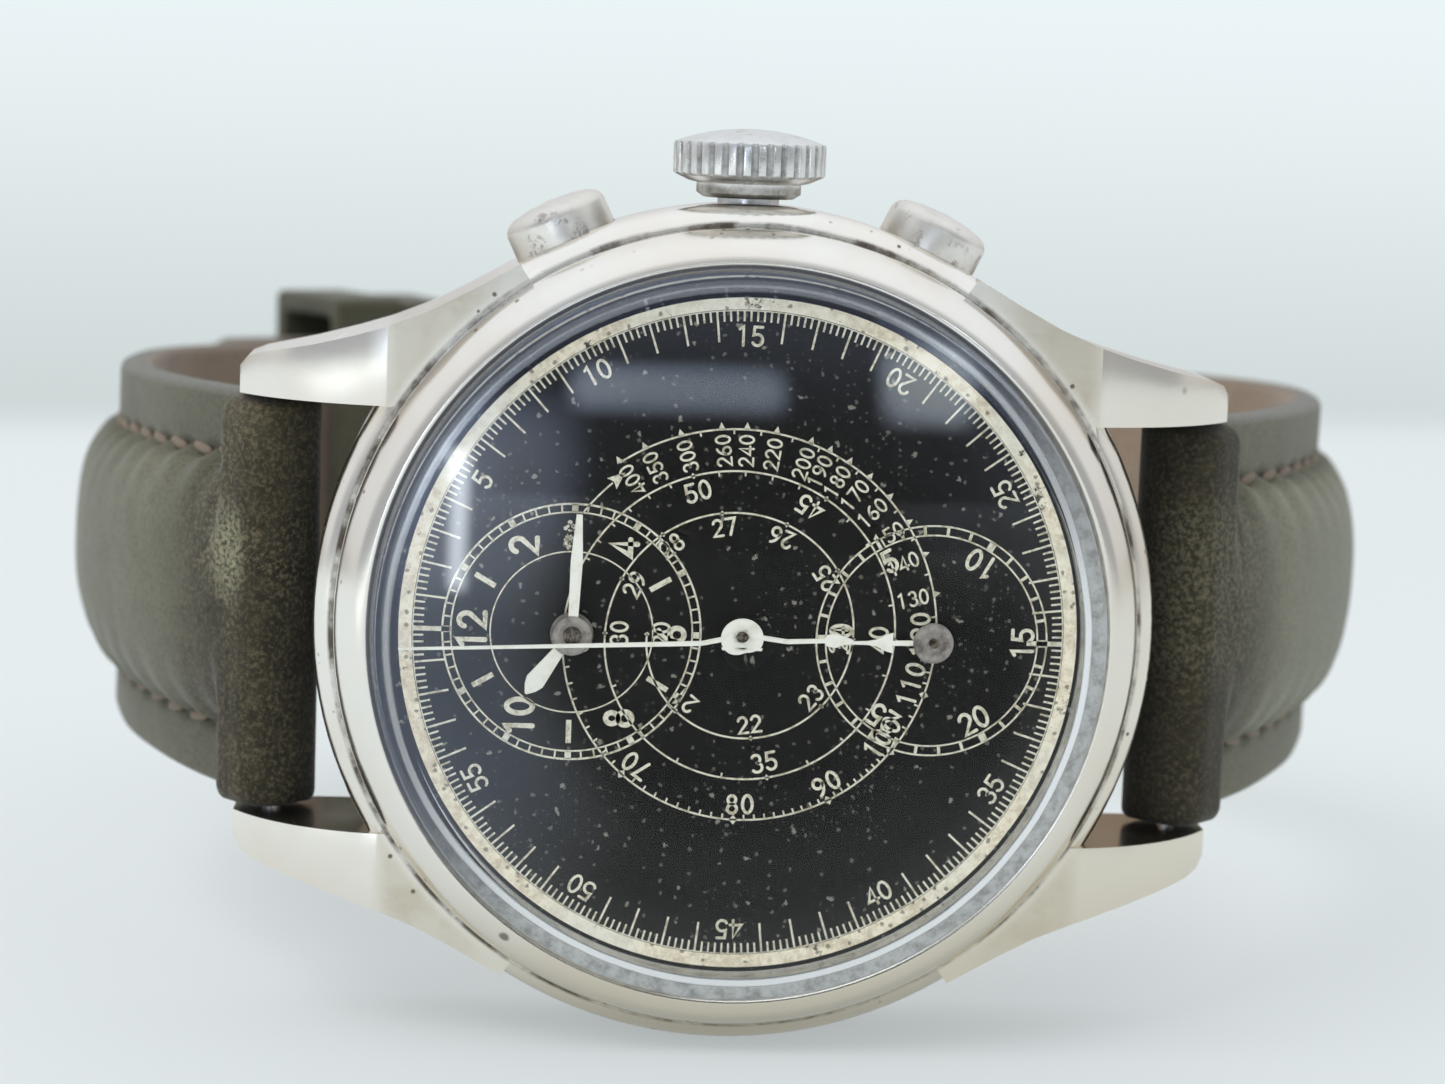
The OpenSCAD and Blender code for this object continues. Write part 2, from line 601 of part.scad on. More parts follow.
// segment of the bridge disc from y0 over the given depth
module bridge_segment(y0, depth) {
  intersection() {
    disc(bridge_radius, bridge_low, 3.8);
    translate([-15, y0, 2]) cube([30, depth, 4]);
  }
}
module barrel_bridge() color(nickel) case_frame() difference() {
  union() {
    bridge_segment(1.6, 20);
    for (p = barrel_feet) at(p) disc(0.75, 3.6, plate_low);
    at(crown_wheel_axis) disc(0.62, 2.6, 3.2);
  }
  // room for the stem's pinions, the barrel arbor and the pushers
  translate([-1.65, 9.5, 2]) cube([3.3, 6, 5]);
  translate([-1.25, 7.4, 3.3]) cube([2.5, 3, 2]);
  at(barrel_axis) disc(0.84, 2, 5);
  for (a = pusher_angles) rotate([0, 0, a]) translate([11.6, -2.1, 2]) cube([4, 4.2, 4]);
}
module train_bridge() color(nickel) case_frame() difference() {
  union() {
    bridge_segment(-20, 21.4);
    for (p = train_feet) at(p) disc(0.7, 3.6, plate_low);
  }
  at(balance_axis) disc(4.8, 2, 6);
  at(cock_foot) disc(1.75, 2, 6);
  for (p = [runner_axis, counter_axis]) at(p) disc(0.3, 2, 5);
  at(idler_axis) disc(0.14, 2, 5);
  for (p = [time_axis, third_axis, fourth_axis, escape_axis]) at(p) disc(0.5, 2, 3.3);
  at(fourth_axis) disc(0.32, 2, 5);
  for (p = [time_axis, third_axis, escape_axis]) at(p) disc(0.22, 2, 5);
}
module chronograph_bridge() color(nickel) case_frame() {
  z0 = 1.0;
  z1 = 1.55;
  difference() {
    union() {
      bar(runner_axis, counter_axis, 2.2, z0, z1);
      for (p = [runner_axis, counter_axis]) at(p) disc(1.3, z0, z1);
      bar(runner_axis, chrono_feet[0], 1.3, z0, z1);
      bar(counter_axis, chrono_feet[1], 1.3, z0, z1);
      for (p = chrono_feet) at(p) disc(0.75, z0, bridge_low);
    }
    for (p = [runner_axis, counter_axis, idler_axis]) at(p) {
      disc(0.5, 0, 1.3);
      disc(0.25, 0, 2);
    }
  }
}
module balance_cock() color(nickel) case_frame() difference() {
  union() {
    bar(balance_axis, cock_foot, 2.4, 1.1, 1.8);
    at(balance_axis) disc(1.5, 1.1, 1.8);
    at(cock_foot) disc(1.5, 1.1, plate_low);
  }
  at(balance_axis) disc(0.5, 1, 1.4);
  at(balance_axis) disc(0.25, 1, 2);
  // trimmed to the bridges' outline
  difference() {
    disc(20, 1, 6);
    disc(bridge_radius, 0, 7);
  }
}
module pallet_bridge() color(nickel) case_frame() difference() {
  union() {
    bar(pallet_feet[0], pallet_feet[1], 1.3, 3.3, 3.65);
    for (p = pallet_feet) at(p) disc(0.6, 3.3, plate_low);
  }
  at(pallet_axis) disc(0.4, 3, 3.5);
  at(pallet_axis) disc(0.2, 3, 4);
}
module jewels() color(ruby) case_frame() for (set = jewel_sets) for (jewel = set[3])
  at(jewel[0]) ring(set[1], jewel[1], set[0], set[0] + set[2]);
module screws() color([0.3, 0.35, 0.55]) case_frame() {
  for (p = concat([for (i = [0:2]) barrel_feet[i]], train_feet)) at(p) difference() {
    disc(0.6, bridge_low - 0.3, bridge_low);
    translate([-0.8, -0.08, bridge_low - 0.4]) cube([1.6, 0.16, 0.22]);
  }
  at(cock_foot) difference() {
    disc(0.8, 0.85, 1.1);
    translate([-1, -0.1, 0.8]) cube([2, 0.2, 0.15]);
  }
  // studs of the levers, the column wheel and the click
  for (p = [operating_pivot, hammer_pivot, clutch_pivot]) at(p) disc(0.35, 1.0, bridge_low);
  at(column_axis) {
    disc(0.3, 1.6, bridge_low);
    disc(0.55, 1.56, 1.66);
  }
  at(click_pivot) disc(0.3, 2.2, bridge_low);
  at(crown_wheel_axis) difference() {
    disc(1.1, 2.3, 2.58);
    translate([-1.2, -0.1, 2.2]) cube([2.4, 0.2, 0.2]);
  }
}

// ------------------------------------------------------------ barrel and going train
module barrel_drum() color(brass) case_frame() at(barrel_axis) difference() {
  union() {
    gear(barrel_teeth, barrel_mod,
      mesh(pinion_teeth, barrel_teeth, angle_of(barrel_axis - time_axis)), 3.95, 4.3);
    disc(4.5, 3.95, 5.2);
  }
  ring(4.25, 0.9, 4.2, 5.0);
  disc(0.54, 3, 6);
}
module mainspring() color(steel) case_frame() at(barrel_axis, 4.3)
  linear_extrude(0.6) spiral(n = 90, turns = 5, r0 = 1.3, r1 = 4.0, width = 0.16);
module barrel_arbor() color(steel) case_frame() at(barrel_axis) {
  disc(0.5, 3.85, 6.2);
  disc(0.8, 2.97, 3.85);
  translate([-0.5, -0.5, 2.5]) cube([1, 1, 0.6]);
}
module ratchet_wheel() color(steel) case_frame() at(barrel_axis) difference() {
  gear(ratchet_teeth, ratchet_mod, 0, 2.6, 2.95);
  translate([-0.5, -0.5, 2]) cube([1, 1, 2]);
  crossings(6, 0.35, 2.1, 2, 3);
}
module click() color(steel) case_frame() difference() {
  union() {
    at(click_pivot) disc(0.65, 2.6, 2.9);
    bar(click_pivot, barrel_axis + 3.62 * dir(198), 0.6, 2.6, 2.9);
  }
  at(click_pivot) disc(0.33, 2, 4);
  at(barrel_axis) disc(3.56, 2, 4);
}
module centre_wheel() color(brass) case_frame() at(time_axis) {
  wheel(centre_teeth, centre_mod, 0, 5.28, 5.45);
  gear(pinion_teeth, barrel_mod, 0, 3.9, 5.1);
  disc(0.4, 3.85, 5.5);
  disc(0.12, 3.05, 6);
  disc(0.3, 5.4, 9.7);
}
module third_wheel() color(brass) case_frame() at(third_axis) {
  wheel(third_teeth, third_mod, 0, 4.05, 4.22);
  gear(pinion_teeth, centre_mod, mesh(centre_teeth, pinion_teeth, third_angle), 5.05, 5.5);
  disc(0.25, 3.85, 5.55);
  disc(0.12, 3.05, 5.85);
}
// wheel in the layer of the chronograph's coupling
module chrono_wheel(teeth, phase, openings) {
  wheel(teeth, chrono_mod, phase, 2.4, 2.55, openings);
}
module fourth_wheel() color(brass) case_frame() at(fourth_axis) {
  wheel(fourth_teeth, fourth_mod, 0, 4.85, 5.02);
  gear(pinion_teeth, third_mod, mesh(third_teeth, pinion_teeth, fourth_angle), 3.9, 4.5);
  chrono_wheel(runner_teeth, 0, 4);
  disc(0.2, 2.25, 5.55);
  disc(0.12, 2.25, 5.85);
}
module escape_wheel() color(steel) case_frame() at(escape_axis) {
  // corners of a tooth: [share of the tooth pitch, radius]
  escape_tooth = [[0, 2.2], [0.14, 2.18], [0.62, 1.62]];
  difference() {
    translate([0, 0, 4.15]) linear_extrude(0.15) polygon([for (i = [0:14])
      for (corner = escape_tooth) corner[1] * dir((i + corner[0]) * 24 + 7)]);
    crossings(4, 0.42, 0.95, 4.15, 4.3);
  }
  gear(escape_pinion_teeth, fourth_mod,
    mesh(fourth_teeth, escape_pinion_teeth, escape_angle), 4.7, 5.3);
  disc(0.2, 3.85, 5.55);
  disc(0.12, 3.05, 5.85);
}
module pallet_fork() color(steel) case_frame() {
  z0 = 4.1;
  z1 = 4.3;
  fork = pallet_axis + 2.15 * to_balance;
  at(pallet_axis) disc(0.45, z0, z1);
  bar(pallet_axis, fork, 0.35, z0, z1);
  at(fork, z0) rotate([0, 0, angle_of(to_balance)]) linear_extrude(0.2) polygon(mirrored([
    [-0.2, -0.15], [0.15, -0.42], [0.62, -0.36], [0.62, -0.14], [0.25, -0.14]]));
  for (s = [-1, 1]) {
    pallet = escape_axis + 2.42 * dir(angle_of(to_balance) + s * 37);
    bar(pallet_axis, pallet, 0.4, z0, z1);
    at(pallet) disc(0.2, z0, z1);
  }
  at(pallet_axis) {
    disc(0.2, 3.75, 5.5);
    disc(0.12, 3.35, 5.85);
  }
}
module balance_wheel() color(brass) case_frame() at(balance_axis) {
  ring(4.1, 3.65, 2.6, 3.05);
  translate([-3.8, -0.3, 2.65]) cube([7.6, 0.6, 0.3]);
  // screws round the rim
  for (i = [0:11]) rotate([0, 0, 15 + i * 30])
    translate([4.0, 0, 2.82]) rotate([0, 90, 0]) cylinder(r = 0.2, h = 0.45);
  disc(0.55, 2.4, 2.7);
  disc(0.22, 1.95, 5.5);
  disc(0.1, 1.2, 5.85);
  // roller and its pin, towards the fork
  disc(0.85, 3.7, 3.85);
  rotate([0, 0, angle_of(to_balance) + 180]) translate([0.62, 0, 0]) disc(0.08, 3.8, 4.35);
}
module hairspring() color([0.25, 0.3, 0.5]) case_frame() at(balance_axis) {
  ring(0.6, 0.24, 2.1, 2.38);
  translate([0, 0, 2.15])
    linear_extrude(0.18) spiral(n = 132, turns = 7, r0 = 0.55, r1 = 2.5, width = 0.06);
}
module cannon_pinion() color(steel) case_frame() at(time_axis) difference() {
  union() {
    gear(cannon_teeth, cannon_mod, 0, 7.05, 7.45);
    disc(0.38, 7.1, 9.65);
  }
  disc(0.3, 6, 10);
}
module minute_work_wheel() color(brass) case_frame() at(minute_work_axis) difference() {
  union() {
    gear(minute_work_teeth, cannon_mod,
      mesh(cannon_teeth, minute_work_teeth, minute_work_angle), 7.12, 7.28);
    gear(pinion_teeth, hour_mod, 0, 7.2, 7.9);
  }
  disc(0.23, 7, 9);
}
module hour_wheel() color(brass) case_frame() at(time_axis) difference() {
  union() {
    gear(hour_teeth, hour_mod,
      mesh(pinion_teeth, hour_teeth, minute_work_angle + 180), 7.6, 7.78);
    disc(0.56, 7.6, 9.2);
  }
  disc(0.42, 7, 10);
}

// ------------------------------------------------------------ chronograph works
hammer_low = 1.78;              // layer of the reset hammer and the heart cams
hammer_high = 2.08;

module column_wheel() color(steel) case_frame() at(column_axis) difference() {
  union() {
    gear(12, 0.24, 0, 2.6, 2.9);
    disc(1.15, 2.35, 2.7);
    for (i = [0:5]) rotate([0, 0, i * 60 + 15])
      translate([0.62, -0.3, 1.7]) cube([0.45, 0.6, 0.75]);
  }
  disc(0.33, 1, 4);
}
module operating_lever() color(steel) case_frame() difference() {
  union() {
    at(operating_pivot) disc(0.75, 1.15, 1.5);
    bar(operating_pivot, 13.45 * dir(start_angle), 0.8, 1.15, 1.5);
    // tab facing the start pusher
    rotate([0, 0, start_angle]) translate([13.2, -0.8, 1.15]) cube([0.6, 1.6, 3.9]);
  }
  at(operating_pivot) disc(0.38, 1, 4);
}
module clutch_lever() color(steel) case_frame() {
  z0 = 1.75;
  z1 = 2.05;
  elbow = [-5.0, 1.6];
  difference() {
    union() {
      at(clutch_pivot) disc(0.8, z0, z1);
      bar(clutch_pivot, clutch_axis, 0.8, z0, z1);
      at(clutch_axis) disc(0.6, z0, z1);
      bar(clutch_axis, elbow, 0.7, z0, z1);
      at(elbow) disc(0.42, z0, z1);
      bar(elbow, [-5.7, 9.6], 0.7, z0, z1);
    }
    at(clutch_pivot) disc(0.38, 1, 4);
    at(clutch_axis) disc(0.14, 1, 3);
  }
}
module clutch_wheel() color(brass) case_frame() at(clutch_axis) {
  chrono_wheel(clutch_teeth,
    mesh(runner_teeth, clutch_teeth, angle_of(clutch_axis - fourth_axis)), 4);
  disc(0.3, 2.1, 2.7);
  disc(0.12, 1.7, 2.7);
}
module heart_cam() {
  translate([0, 0, hammer_low]) linear_extrude(hammer_high - hammer_low)
    polygon([for (i = [0:35]) let (a = i * 10) (1.1 - 0.62 * abs(a - 180) / 180) * dir(a + 90)]);
}
module chronograph_runner() color(brass) case_frame() {
  chrono_wheel(runner_teeth, 1, 5);
  heart_cam();
  disc(0.24, 1.6, 10.3);
  disc(0.12, 1.05, 2);
  disc(0.45, 2.3, 2.9);
  // finger pointing to 12 o'clock
  rotate([0, 0, 180]) translate([0, -0.07, 2.7]) cube([2.2, 0.14, 0.15]);
}
module counter_idler() color(brass) case_frame() at(idler_axis) {
  wheel(idler_teeth, counter_mod, 0, 2.7, 2.85, 4);
  disc(0.2, 1.65, 2.95);
  disc(0.12, 1.05, 3.6);
}
module counter_wheel() color(brass) case_frame() at(counter_axis) {
  wheel(counter_teeth, counter_mod, mesh(idler_teeth, counter_teeth, 0), 2.7, 2.85);
  heart_cam();
  disc(0.19, 1.6, 9.3);
  disc(0.12, 1.05, 2);
}
module reset_hammer() color(steel) case_frame() {
  z0 = hammer_low;
  z1 = hammer_high;
  elbow = [7.0, 11.0];
  difference() {
    union() {
      at(hammer_pivot) disc(0.8, z0, z1);
      bar(hammer_pivot, [8.6, 2.1], 1.0, z0, z1);
      translate([-1.0, 2.2, z0]) cube([9.0, 0.6, 0.3]);
      translate([6.9, 1.45, z0]) cube([1.9, 1.1, 0.3]);
      bar(hammer_pivot, elbow, 0.9, z0, z1);
      bar(elbow, 13.3 * dir(reset_angle), 0.9, z0, z1);
      // tab facing the reset pusher
      rotate([0, 0, reset_angle]) translate([13.2, -0.7, z0]) cube([0.6, 1.4, 3.2]);
    }
    at(hammer_pivot) disc(0.38, 1, 4);
  }
}

midcase();
bezel();
crystal();
case_back();
case_tubes();
spring_bars();
crown();
winding_stem();
winding_pinion();
sliding_pinion();
setting_lever();
crown_wheel();
start_pusher();
reset_pusher();
pusher_springs();
strap_12_leather();
strap_12_lining();
strap_6_leather();
strap_6_lining();
fixed_keeper();
sliding_keeper();
buckle_frame();
buckle_tongue();
buckle_bar();
dial();
hour_hand();
minute_hand();
seconds_hand();
counter_hand();
mainplate();
barrel_bridge();
train_bridge();
chronograph_bridge();
balance_cock();
pallet_bridge();
jewels();
screws();
barrel_drum();
mainspring();
barrel_arbor();
ratchet_wheel();
click();
centre_wheel();
third_wheel();
fourth_wheel();
escape_wheel();
pallet_fork();
balance_wheel();
hairspring();
cannon_pinion();
minute_work_wheel();
hour_wheel();
column_wheel();
operating_lever();
clutch_lever();
clutch_wheel();
chronograph_runner();
counter_idler();
counter_wheel();
reset_hammer();
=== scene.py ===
# Wrist chronograph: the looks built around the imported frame.
import json
import math
import random
import bmesh
import bpy
from mathutils import Matrix, Vector


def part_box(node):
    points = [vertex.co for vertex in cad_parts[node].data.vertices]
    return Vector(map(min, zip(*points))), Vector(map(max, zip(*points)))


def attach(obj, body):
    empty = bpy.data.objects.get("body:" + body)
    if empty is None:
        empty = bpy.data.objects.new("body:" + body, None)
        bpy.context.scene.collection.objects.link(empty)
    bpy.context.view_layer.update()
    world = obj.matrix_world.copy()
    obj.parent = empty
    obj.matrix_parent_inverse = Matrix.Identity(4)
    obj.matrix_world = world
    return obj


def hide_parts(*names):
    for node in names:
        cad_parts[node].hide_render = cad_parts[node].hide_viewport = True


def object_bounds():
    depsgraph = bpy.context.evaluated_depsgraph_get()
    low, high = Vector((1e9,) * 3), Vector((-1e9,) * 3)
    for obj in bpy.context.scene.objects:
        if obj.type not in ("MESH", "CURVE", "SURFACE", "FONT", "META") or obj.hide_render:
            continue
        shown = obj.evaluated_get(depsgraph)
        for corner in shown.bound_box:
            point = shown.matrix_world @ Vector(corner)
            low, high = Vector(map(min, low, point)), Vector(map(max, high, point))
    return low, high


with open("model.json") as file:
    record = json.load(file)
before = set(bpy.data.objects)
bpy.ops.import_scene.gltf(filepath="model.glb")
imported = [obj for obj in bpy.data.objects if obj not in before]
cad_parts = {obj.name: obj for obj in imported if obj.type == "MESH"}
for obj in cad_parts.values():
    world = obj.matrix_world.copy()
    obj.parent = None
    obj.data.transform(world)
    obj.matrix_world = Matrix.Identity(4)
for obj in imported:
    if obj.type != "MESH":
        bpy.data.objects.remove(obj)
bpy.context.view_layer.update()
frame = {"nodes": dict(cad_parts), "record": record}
nodes = frame["nodes"]
MM = 0.001
sc = bpy.context.scene
sc.view_settings.view_transform = "Standard"
sc.view_settings.look = "None"
sc.view_settings.exposure = 0.0
sc.cycles.max_bounces = 10
sc.cycles.transparent_max_bounces = 12
sc.cycles.transmission_bounces = 8
sc.cycles.glossy_bounces = 4
sc.cycles.diffuse_bounces = 3
sc.cycles.caustics_reflective = False
sc.cycles.caustics_refractive = False
sc.cycles.sample_clamp_indirect = 4.0


# ---------------------------------------------------------------- node helpers
class Tree:
    def __init__(self, name):
        self.mat = bpy.data.materials.new(name)
        self.mat.use_nodes = True
        self.t = self.mat.node_tree
        self.t.nodes.clear()
        self.out = self.t.nodes.new("ShaderNodeOutputMaterial")

    def n(self, kind, **kw):
        node = self.t.nodes.new(kind)
        for k, v in kw.items():
            if k.startswith("i_"):
                node.inputs[k[2:].replace("_", " ")].default_value = v
            else:
                setattr(node, k, v)
        return node

    def link(self, a, b):
        self.t.links.new(a, b)

    def math(self, op, a, b=None, c=None, clamp=False):
        node = self.n("ShaderNodeMath", operation=op)
        node.use_clamp = clamp
        for i, v in enumerate((a, b, c)):
            if v is None:
                continue
            if isinstance(v, (int, float)):
                node.inputs[i].default_value = v
            else:
                self.link(v, node.inputs[i])
        return node.outputs[0]

    def mix(self, fac, a, b):
        node = self.n("ShaderNodeMix", data_type="RGBA")
        for i, v in ((0, fac), (6, a), (7, b)):
            if isinstance(v, (int, float)):
                node.inputs[i].default_value = v
            elif isinstance(v, tuple):
                node.inputs[i].default_value = (*v[:3], 1)
            else:
                self.link(v, node.inputs[i])
        return node.outputs[2]

    def ramp(self, fac, stops):
        node = self.n("ShaderNodeValToRGB")
        self.link(fac, node.inputs[0])
        el = node.color_ramp.elements
        while len(el) < len(stops):
            el.new(0.5)
        for e, (p, col) in zip(el, stops):
            e.position = p
            if isinstance(col, (int, float)):
                col = (col, col, col)
            e.color = (*col, 1)
        return node.outputs[0]

    def smooth(self, v, a, b):
        node = self.n("ShaderNodeMapRange", interpolation_type="SMOOTHSTEP", clamp=True)
        node.inputs["From Min"].default_value = a
        node.inputs["From Max"].default_value = b
        self.link(v, node.inputs["Value"])
        return node.outputs[0]

    def obj(self):
        return self.n("ShaderNodeTexCoord").outputs["Object"]

    def noise(self, co, scale, detail=4, rough=0.55, distort=0.0):
        node = self.n("ShaderNodeTexNoise", i_Scale=scale, i_Detail=detail, i_Roughness=rough, i_Distortion=distort)
        self.link(co, node.inputs["Vector"])
        return node.outputs[0]

    def voronoi(self, co, scale, feature="F1"):
        node = self.n("ShaderNodeTexVoronoi", feature=feature, i_Scale=scale)
        self.link(co, node.inputs["Vector"])
        return node

    def flat(self):
        """object coordinates of the dial plane as a 2D vector"""
        sep = self.n("ShaderNodeSeparateXYZ")
        self.link(self.obj(), sep.inputs[0])
        com = self.n("ShaderNodeCombineXYZ")
        self.link(sep.outputs[0], com.inputs[0])
        self.link(sep.outputs[2], com.inputs[1])
        return com.outputs[0]

    def specks(self, scale, size, keep_scale, keep):
        """small irregular spots scattered over the dial plane"""
        co = self.flat()
        wob = self.n("ShaderNodeTexNoise", i_Scale=scale * 2.3, i_Detail=4, i_Roughness=0.7)
        self.link(co, wob.inputs["Vector"])
        mul = self.n("ShaderNodeVectorMath", operation="MULTIPLY_ADD")
        self.link(wob.outputs["Color"], mul.inputs[0])
        mul.inputs[1].default_value = (0.5 / scale,) * 3
        self.link(co, mul.inputs[2])
        v = self.n("ShaderNodeTexVoronoi", voronoi_dimensions="2D", i_Scale=scale)
        self.link(mul.outputs[0], v.inputs["Vector"])
        sep = self.n("ShaderNodeSeparateColor")
        self.link(v.outputs["Color"], sep.inputs[0])
        pick = self.smooth(sep.outputs[0], keep, keep + 0.02)
        dot = self.math("SUBTRACT", 1.0, self.smooth(v.outputs["Distance"], size * 0.5, size))
        return self.math("MULTIPLY", dot, pick)

    def bump(self, height, strength, distance):
        node = self.n("ShaderNodeBump", i_Strength=strength, i_Distance=distance)
        self.link(height, node.inputs["Height"])
        return node.outputs[0]

    def principled(self, color=None, **kw):
        node = self.n("ShaderNodeBsdfPrincipled")
        if color is not None:
            if isinstance(color, tuple):
                node.inputs["Base Color"].default_value = (*color[:3], 1)
            else:
                self.link(color, node.inputs["Base Color"])
        for k, v in kw.items():
            sock = node.inputs[k.replace("_", " ")]
            if isinstance(v, (int, float)):
                sock.default_value = v
            elif isinstance(v, tuple):
                sock.default_value = (*v[:3], 1) if len(sock.default_value) == 4 else v
            else:
                self.link(v, sock)
        self.link(node.outputs[0], self.out.inputs["Surface"])
        return node

    def dist_axis(self, x, y):
        """distance in mm from the axis through local (x, y), which runs along world Y"""
        sep = self.n("ShaderNodeSeparateXYZ")
        self.link(self.obj(), sep.inputs[0])
        dx = self.math("SUBTRACT", sep.outputs[0], x * MM)
        dz = self.math("SUBTRACT", sep.outputs[2], y * MM)
        r = self.math("SQRT", self.math("ADD", self.math("MULTIPLY", dx, dx), self.math("MULTIPLY", dz, dz)))
        return self.math("MULTIPLY", r, 1000.0)


RS = 17.0


def metal(name, col, rough, aged=0.0, grime_and_painted_reflections=False, tint=None, tip=None, stain=0.0, grooves=False):
    m = Tree(name)
    co = m.obj()
    n1 = m.noise(co, 900, 6, 0.6)
    n2 = m.noise(co, 140, 3, 0.5)
    scratch = m.n("ShaderNodeTexNoise", i_Scale=2600, i_Detail=2)
    mp = m.n("ShaderNodeMapping")
    mp.inputs["Scale"].default_value = (0.12, 1, 1)
    mp.inputs["Rotation"].default_value = (0.2, 0.7, 0.5)
    m.link(co, mp.inputs["Vector"])
    m.link(mp.outputs[0], scratch.inputs["Vector"])
    r = m.math("ADD", m.math("MULTIPLY", m.smooth(n2, 0.35, 0.7), 0.10 * (0.5 + aged)), rough)
    c = m.mix(m.math("MULTIPLY", m.smooth(n1, 0.45, 0.8), 0.35 * aged), col, tuple(v * 0.55 for v in col))
    if tint:
        c = m.mix(m.math("MULTIPLY", m.smooth(n2, 0.42, 0.66), 0.55), c, tint)
    if grime_and_painted_reflections:
        # dirt collects in the seam between case and bezel and in small pits; further down, painted warm reflections
        # tint the lower half, the right side and the lug roots
        sep = m.n("ShaderNodeSeparateXYZ")
        m.link(co, sep.inputs[0])
        seam = m.math("ABSOLUTE", m.math("ADD", m.math("MULTIPLY", sep.outputs[1], 1000.0), 7.52))
        rr = m.dist_axis(0, 0)
        band = m.math("MULTIPLY", m.math("SUBTRACT", 1.0, m.smooth(seam, 0.03, 0.22)), m.math("MULTIPLY", m.smooth(rr, RS - 0.28, RS - 0.14), m.math("SUBTRACT", 1.0, m.smooth(rr, RS - 0.02, RS + 0.14))))
        n3 = m.noise(co, 420, 5, 0.65)
        g = m.math("MULTIPLY", band, m.math("ADD", m.math("MULTIPLY", m.smooth(n3, 0.42, 0.62), 0.72), 0.20), clamp=True)
        pits = m.voronoi(co, 420)
        pit = m.math("MULTIPLY", m.math("SUBTRACT", 1.0, m.smooth(pits.outputs["Distance"], 0.06, 0.13)), m.smooth(m.noise(co, 90, 3), 0.52, 0.66))
        g = m.math("MAXIMUM", g, m.math("MULTIPLY", pit, 0.8))
        near = m.math("SUBTRACT", 1.0, m.smooth(m.math("ABSOLUTE", m.math("SUBTRACT", rr, RS + 0.1)), 0.35, 0.8))
        small = m.math("SUBTRACT", 1.0, m.smooth(m.voronoi(co, 1300).outputs["Distance"], 0.09, 0.17))
        small = m.math("MULTIPLY", m.math("MULTIPLY", small, near), m.smooth(m.noise(co, 260, 2), 0.50, 0.58))
        g = m.math("MAXIMUM", g, m.math("MULTIPLY", small, 0.8))
        xa = m.math("ABSOLUTE", m.math("MULTIPLY", sep.outputs[0], 1000.0))
        root = m.math("MULTIPLY", m.math("MULTIPLY", m.smooth(xa, 9.5, 12.0), m.math("SUBTRACT", 1.0, m.smooth(xa, 14.2, 15.2))), m.smooth(rr, RS, RS + 0.5))
        # painted reflection: the lower half is darkened to a warm tan, most from the middle rightwards
        under = m.smooth(m.math("MULTIPLY", sep.outputs[2], -1000.0), 0.0, 17.0)
        under = m.math("MULTIPLY", under, m.math("ADD", 0.25, m.math("MULTIPLY", m.smooth(m.math("MULTIPLY", sep.outputs[0], 1000.0), -15.0, -4.0), 0.70)))
        c = m.mix(under, c, (0.70, 0.635, 0.51))
        # painted reflection: a warm tan tint on the right side
        c = m.mix(m.math("MULTIPLY", m.smooth(m.math("MULTIPLY", sep.outputs[0], 1000.0), 11.0, 16.5), 0.45), c, (0.74, 0.675, 0.56))
        # painted reflection: a darker warm tint at the lug roots
        c = m.mix(m.math("MULTIPLY", root, m.math("ADD", 0.45, m.math("MULTIPLY", m.smooth(n3, 0.4, 0.7), 0.35))), c, (0.60, 0.53, 0.41))
        c = m.mix(g, c, (0.10, 0.075, 0.05))
        r = m.math("ADD", r, m.math("MULTIPLY", g, 0.4), clamp=True)
    if grooves:
        sep = m.n("ShaderNodeSeparateXYZ")
        m.link(co, sep.inputs[0])
        gy = m.math("ADD", m.math("MULTIPLY", sep.outputs[1], 1000.0), 4.5)
        gx = m.math("MULTIPLY", sep.outputs[0], 1000.0)
        gr = m.math("SQRT", m.math("ADD", m.math("MULTIPLY", gx, gx), m.math("MULTIPLY", gy, gy)))
        height = m.math("MULTIPLY", sep.outputs[2], 1000.0)
        deep = m.math("MULTIPLY", m.math("SUBTRACT", 1.0, m.smooth(gr, 3.10, 3.19)), m.smooth(gr, 2.98, 3.04))
        deep = m.math("MULTIPLY", deep, m.math("MULTIPLY", m.smooth(height, 18.6, 18.9), m.math("SUBTRACT", 1.0, m.smooth(height, 20.05, 20.25))))
        blot = m.smooth(m.noise(co, 1500, 5, 0.7), 0.34, 0.66)
        c = m.mix(m.math("MULTIPLY", deep, m.math("ADD", 0.30, m.math("MULTIPLY", blot, 0.42))), c, (0.16, 0.15, 0.13))
        # the underside and the collar hold old dirt
        soil = m.math("MULTIPLY", m.math("SUBTRACT", 1.0, m.smooth(height, 18.30, 18.62)), m.math("ADD", 0.42, m.math("MULTIPLY", blot, 0.40)))
        c = m.mix(soil, c, (0.20, 0.175, 0.135))
        r = m.math("ADD", r, m.math("ADD", m.math("MULTIPLY", deep, 0.2), m.math("MULTIPLY", soil, 0.25)), clamp=True)
    if stain:
        # dull spots and scratches of long handling
        n4 = m.noise(co, 1300, 6, 0.72)
        n5 = m.noise(co, 380, 4, 0.6)
        s1 = m.math("MULTIPLY", m.smooth(n4, 0.54, 0.66), m.smooth(n5, 0.42, 0.60))
        c = m.mix(m.math("MULTIPLY", s1, stain), c, (0.17, 0.15, 0.12))
        r = m.math("ADD", r, m.math("MULTIPLY", s1, 0.25), clamp=True)
    if tip:
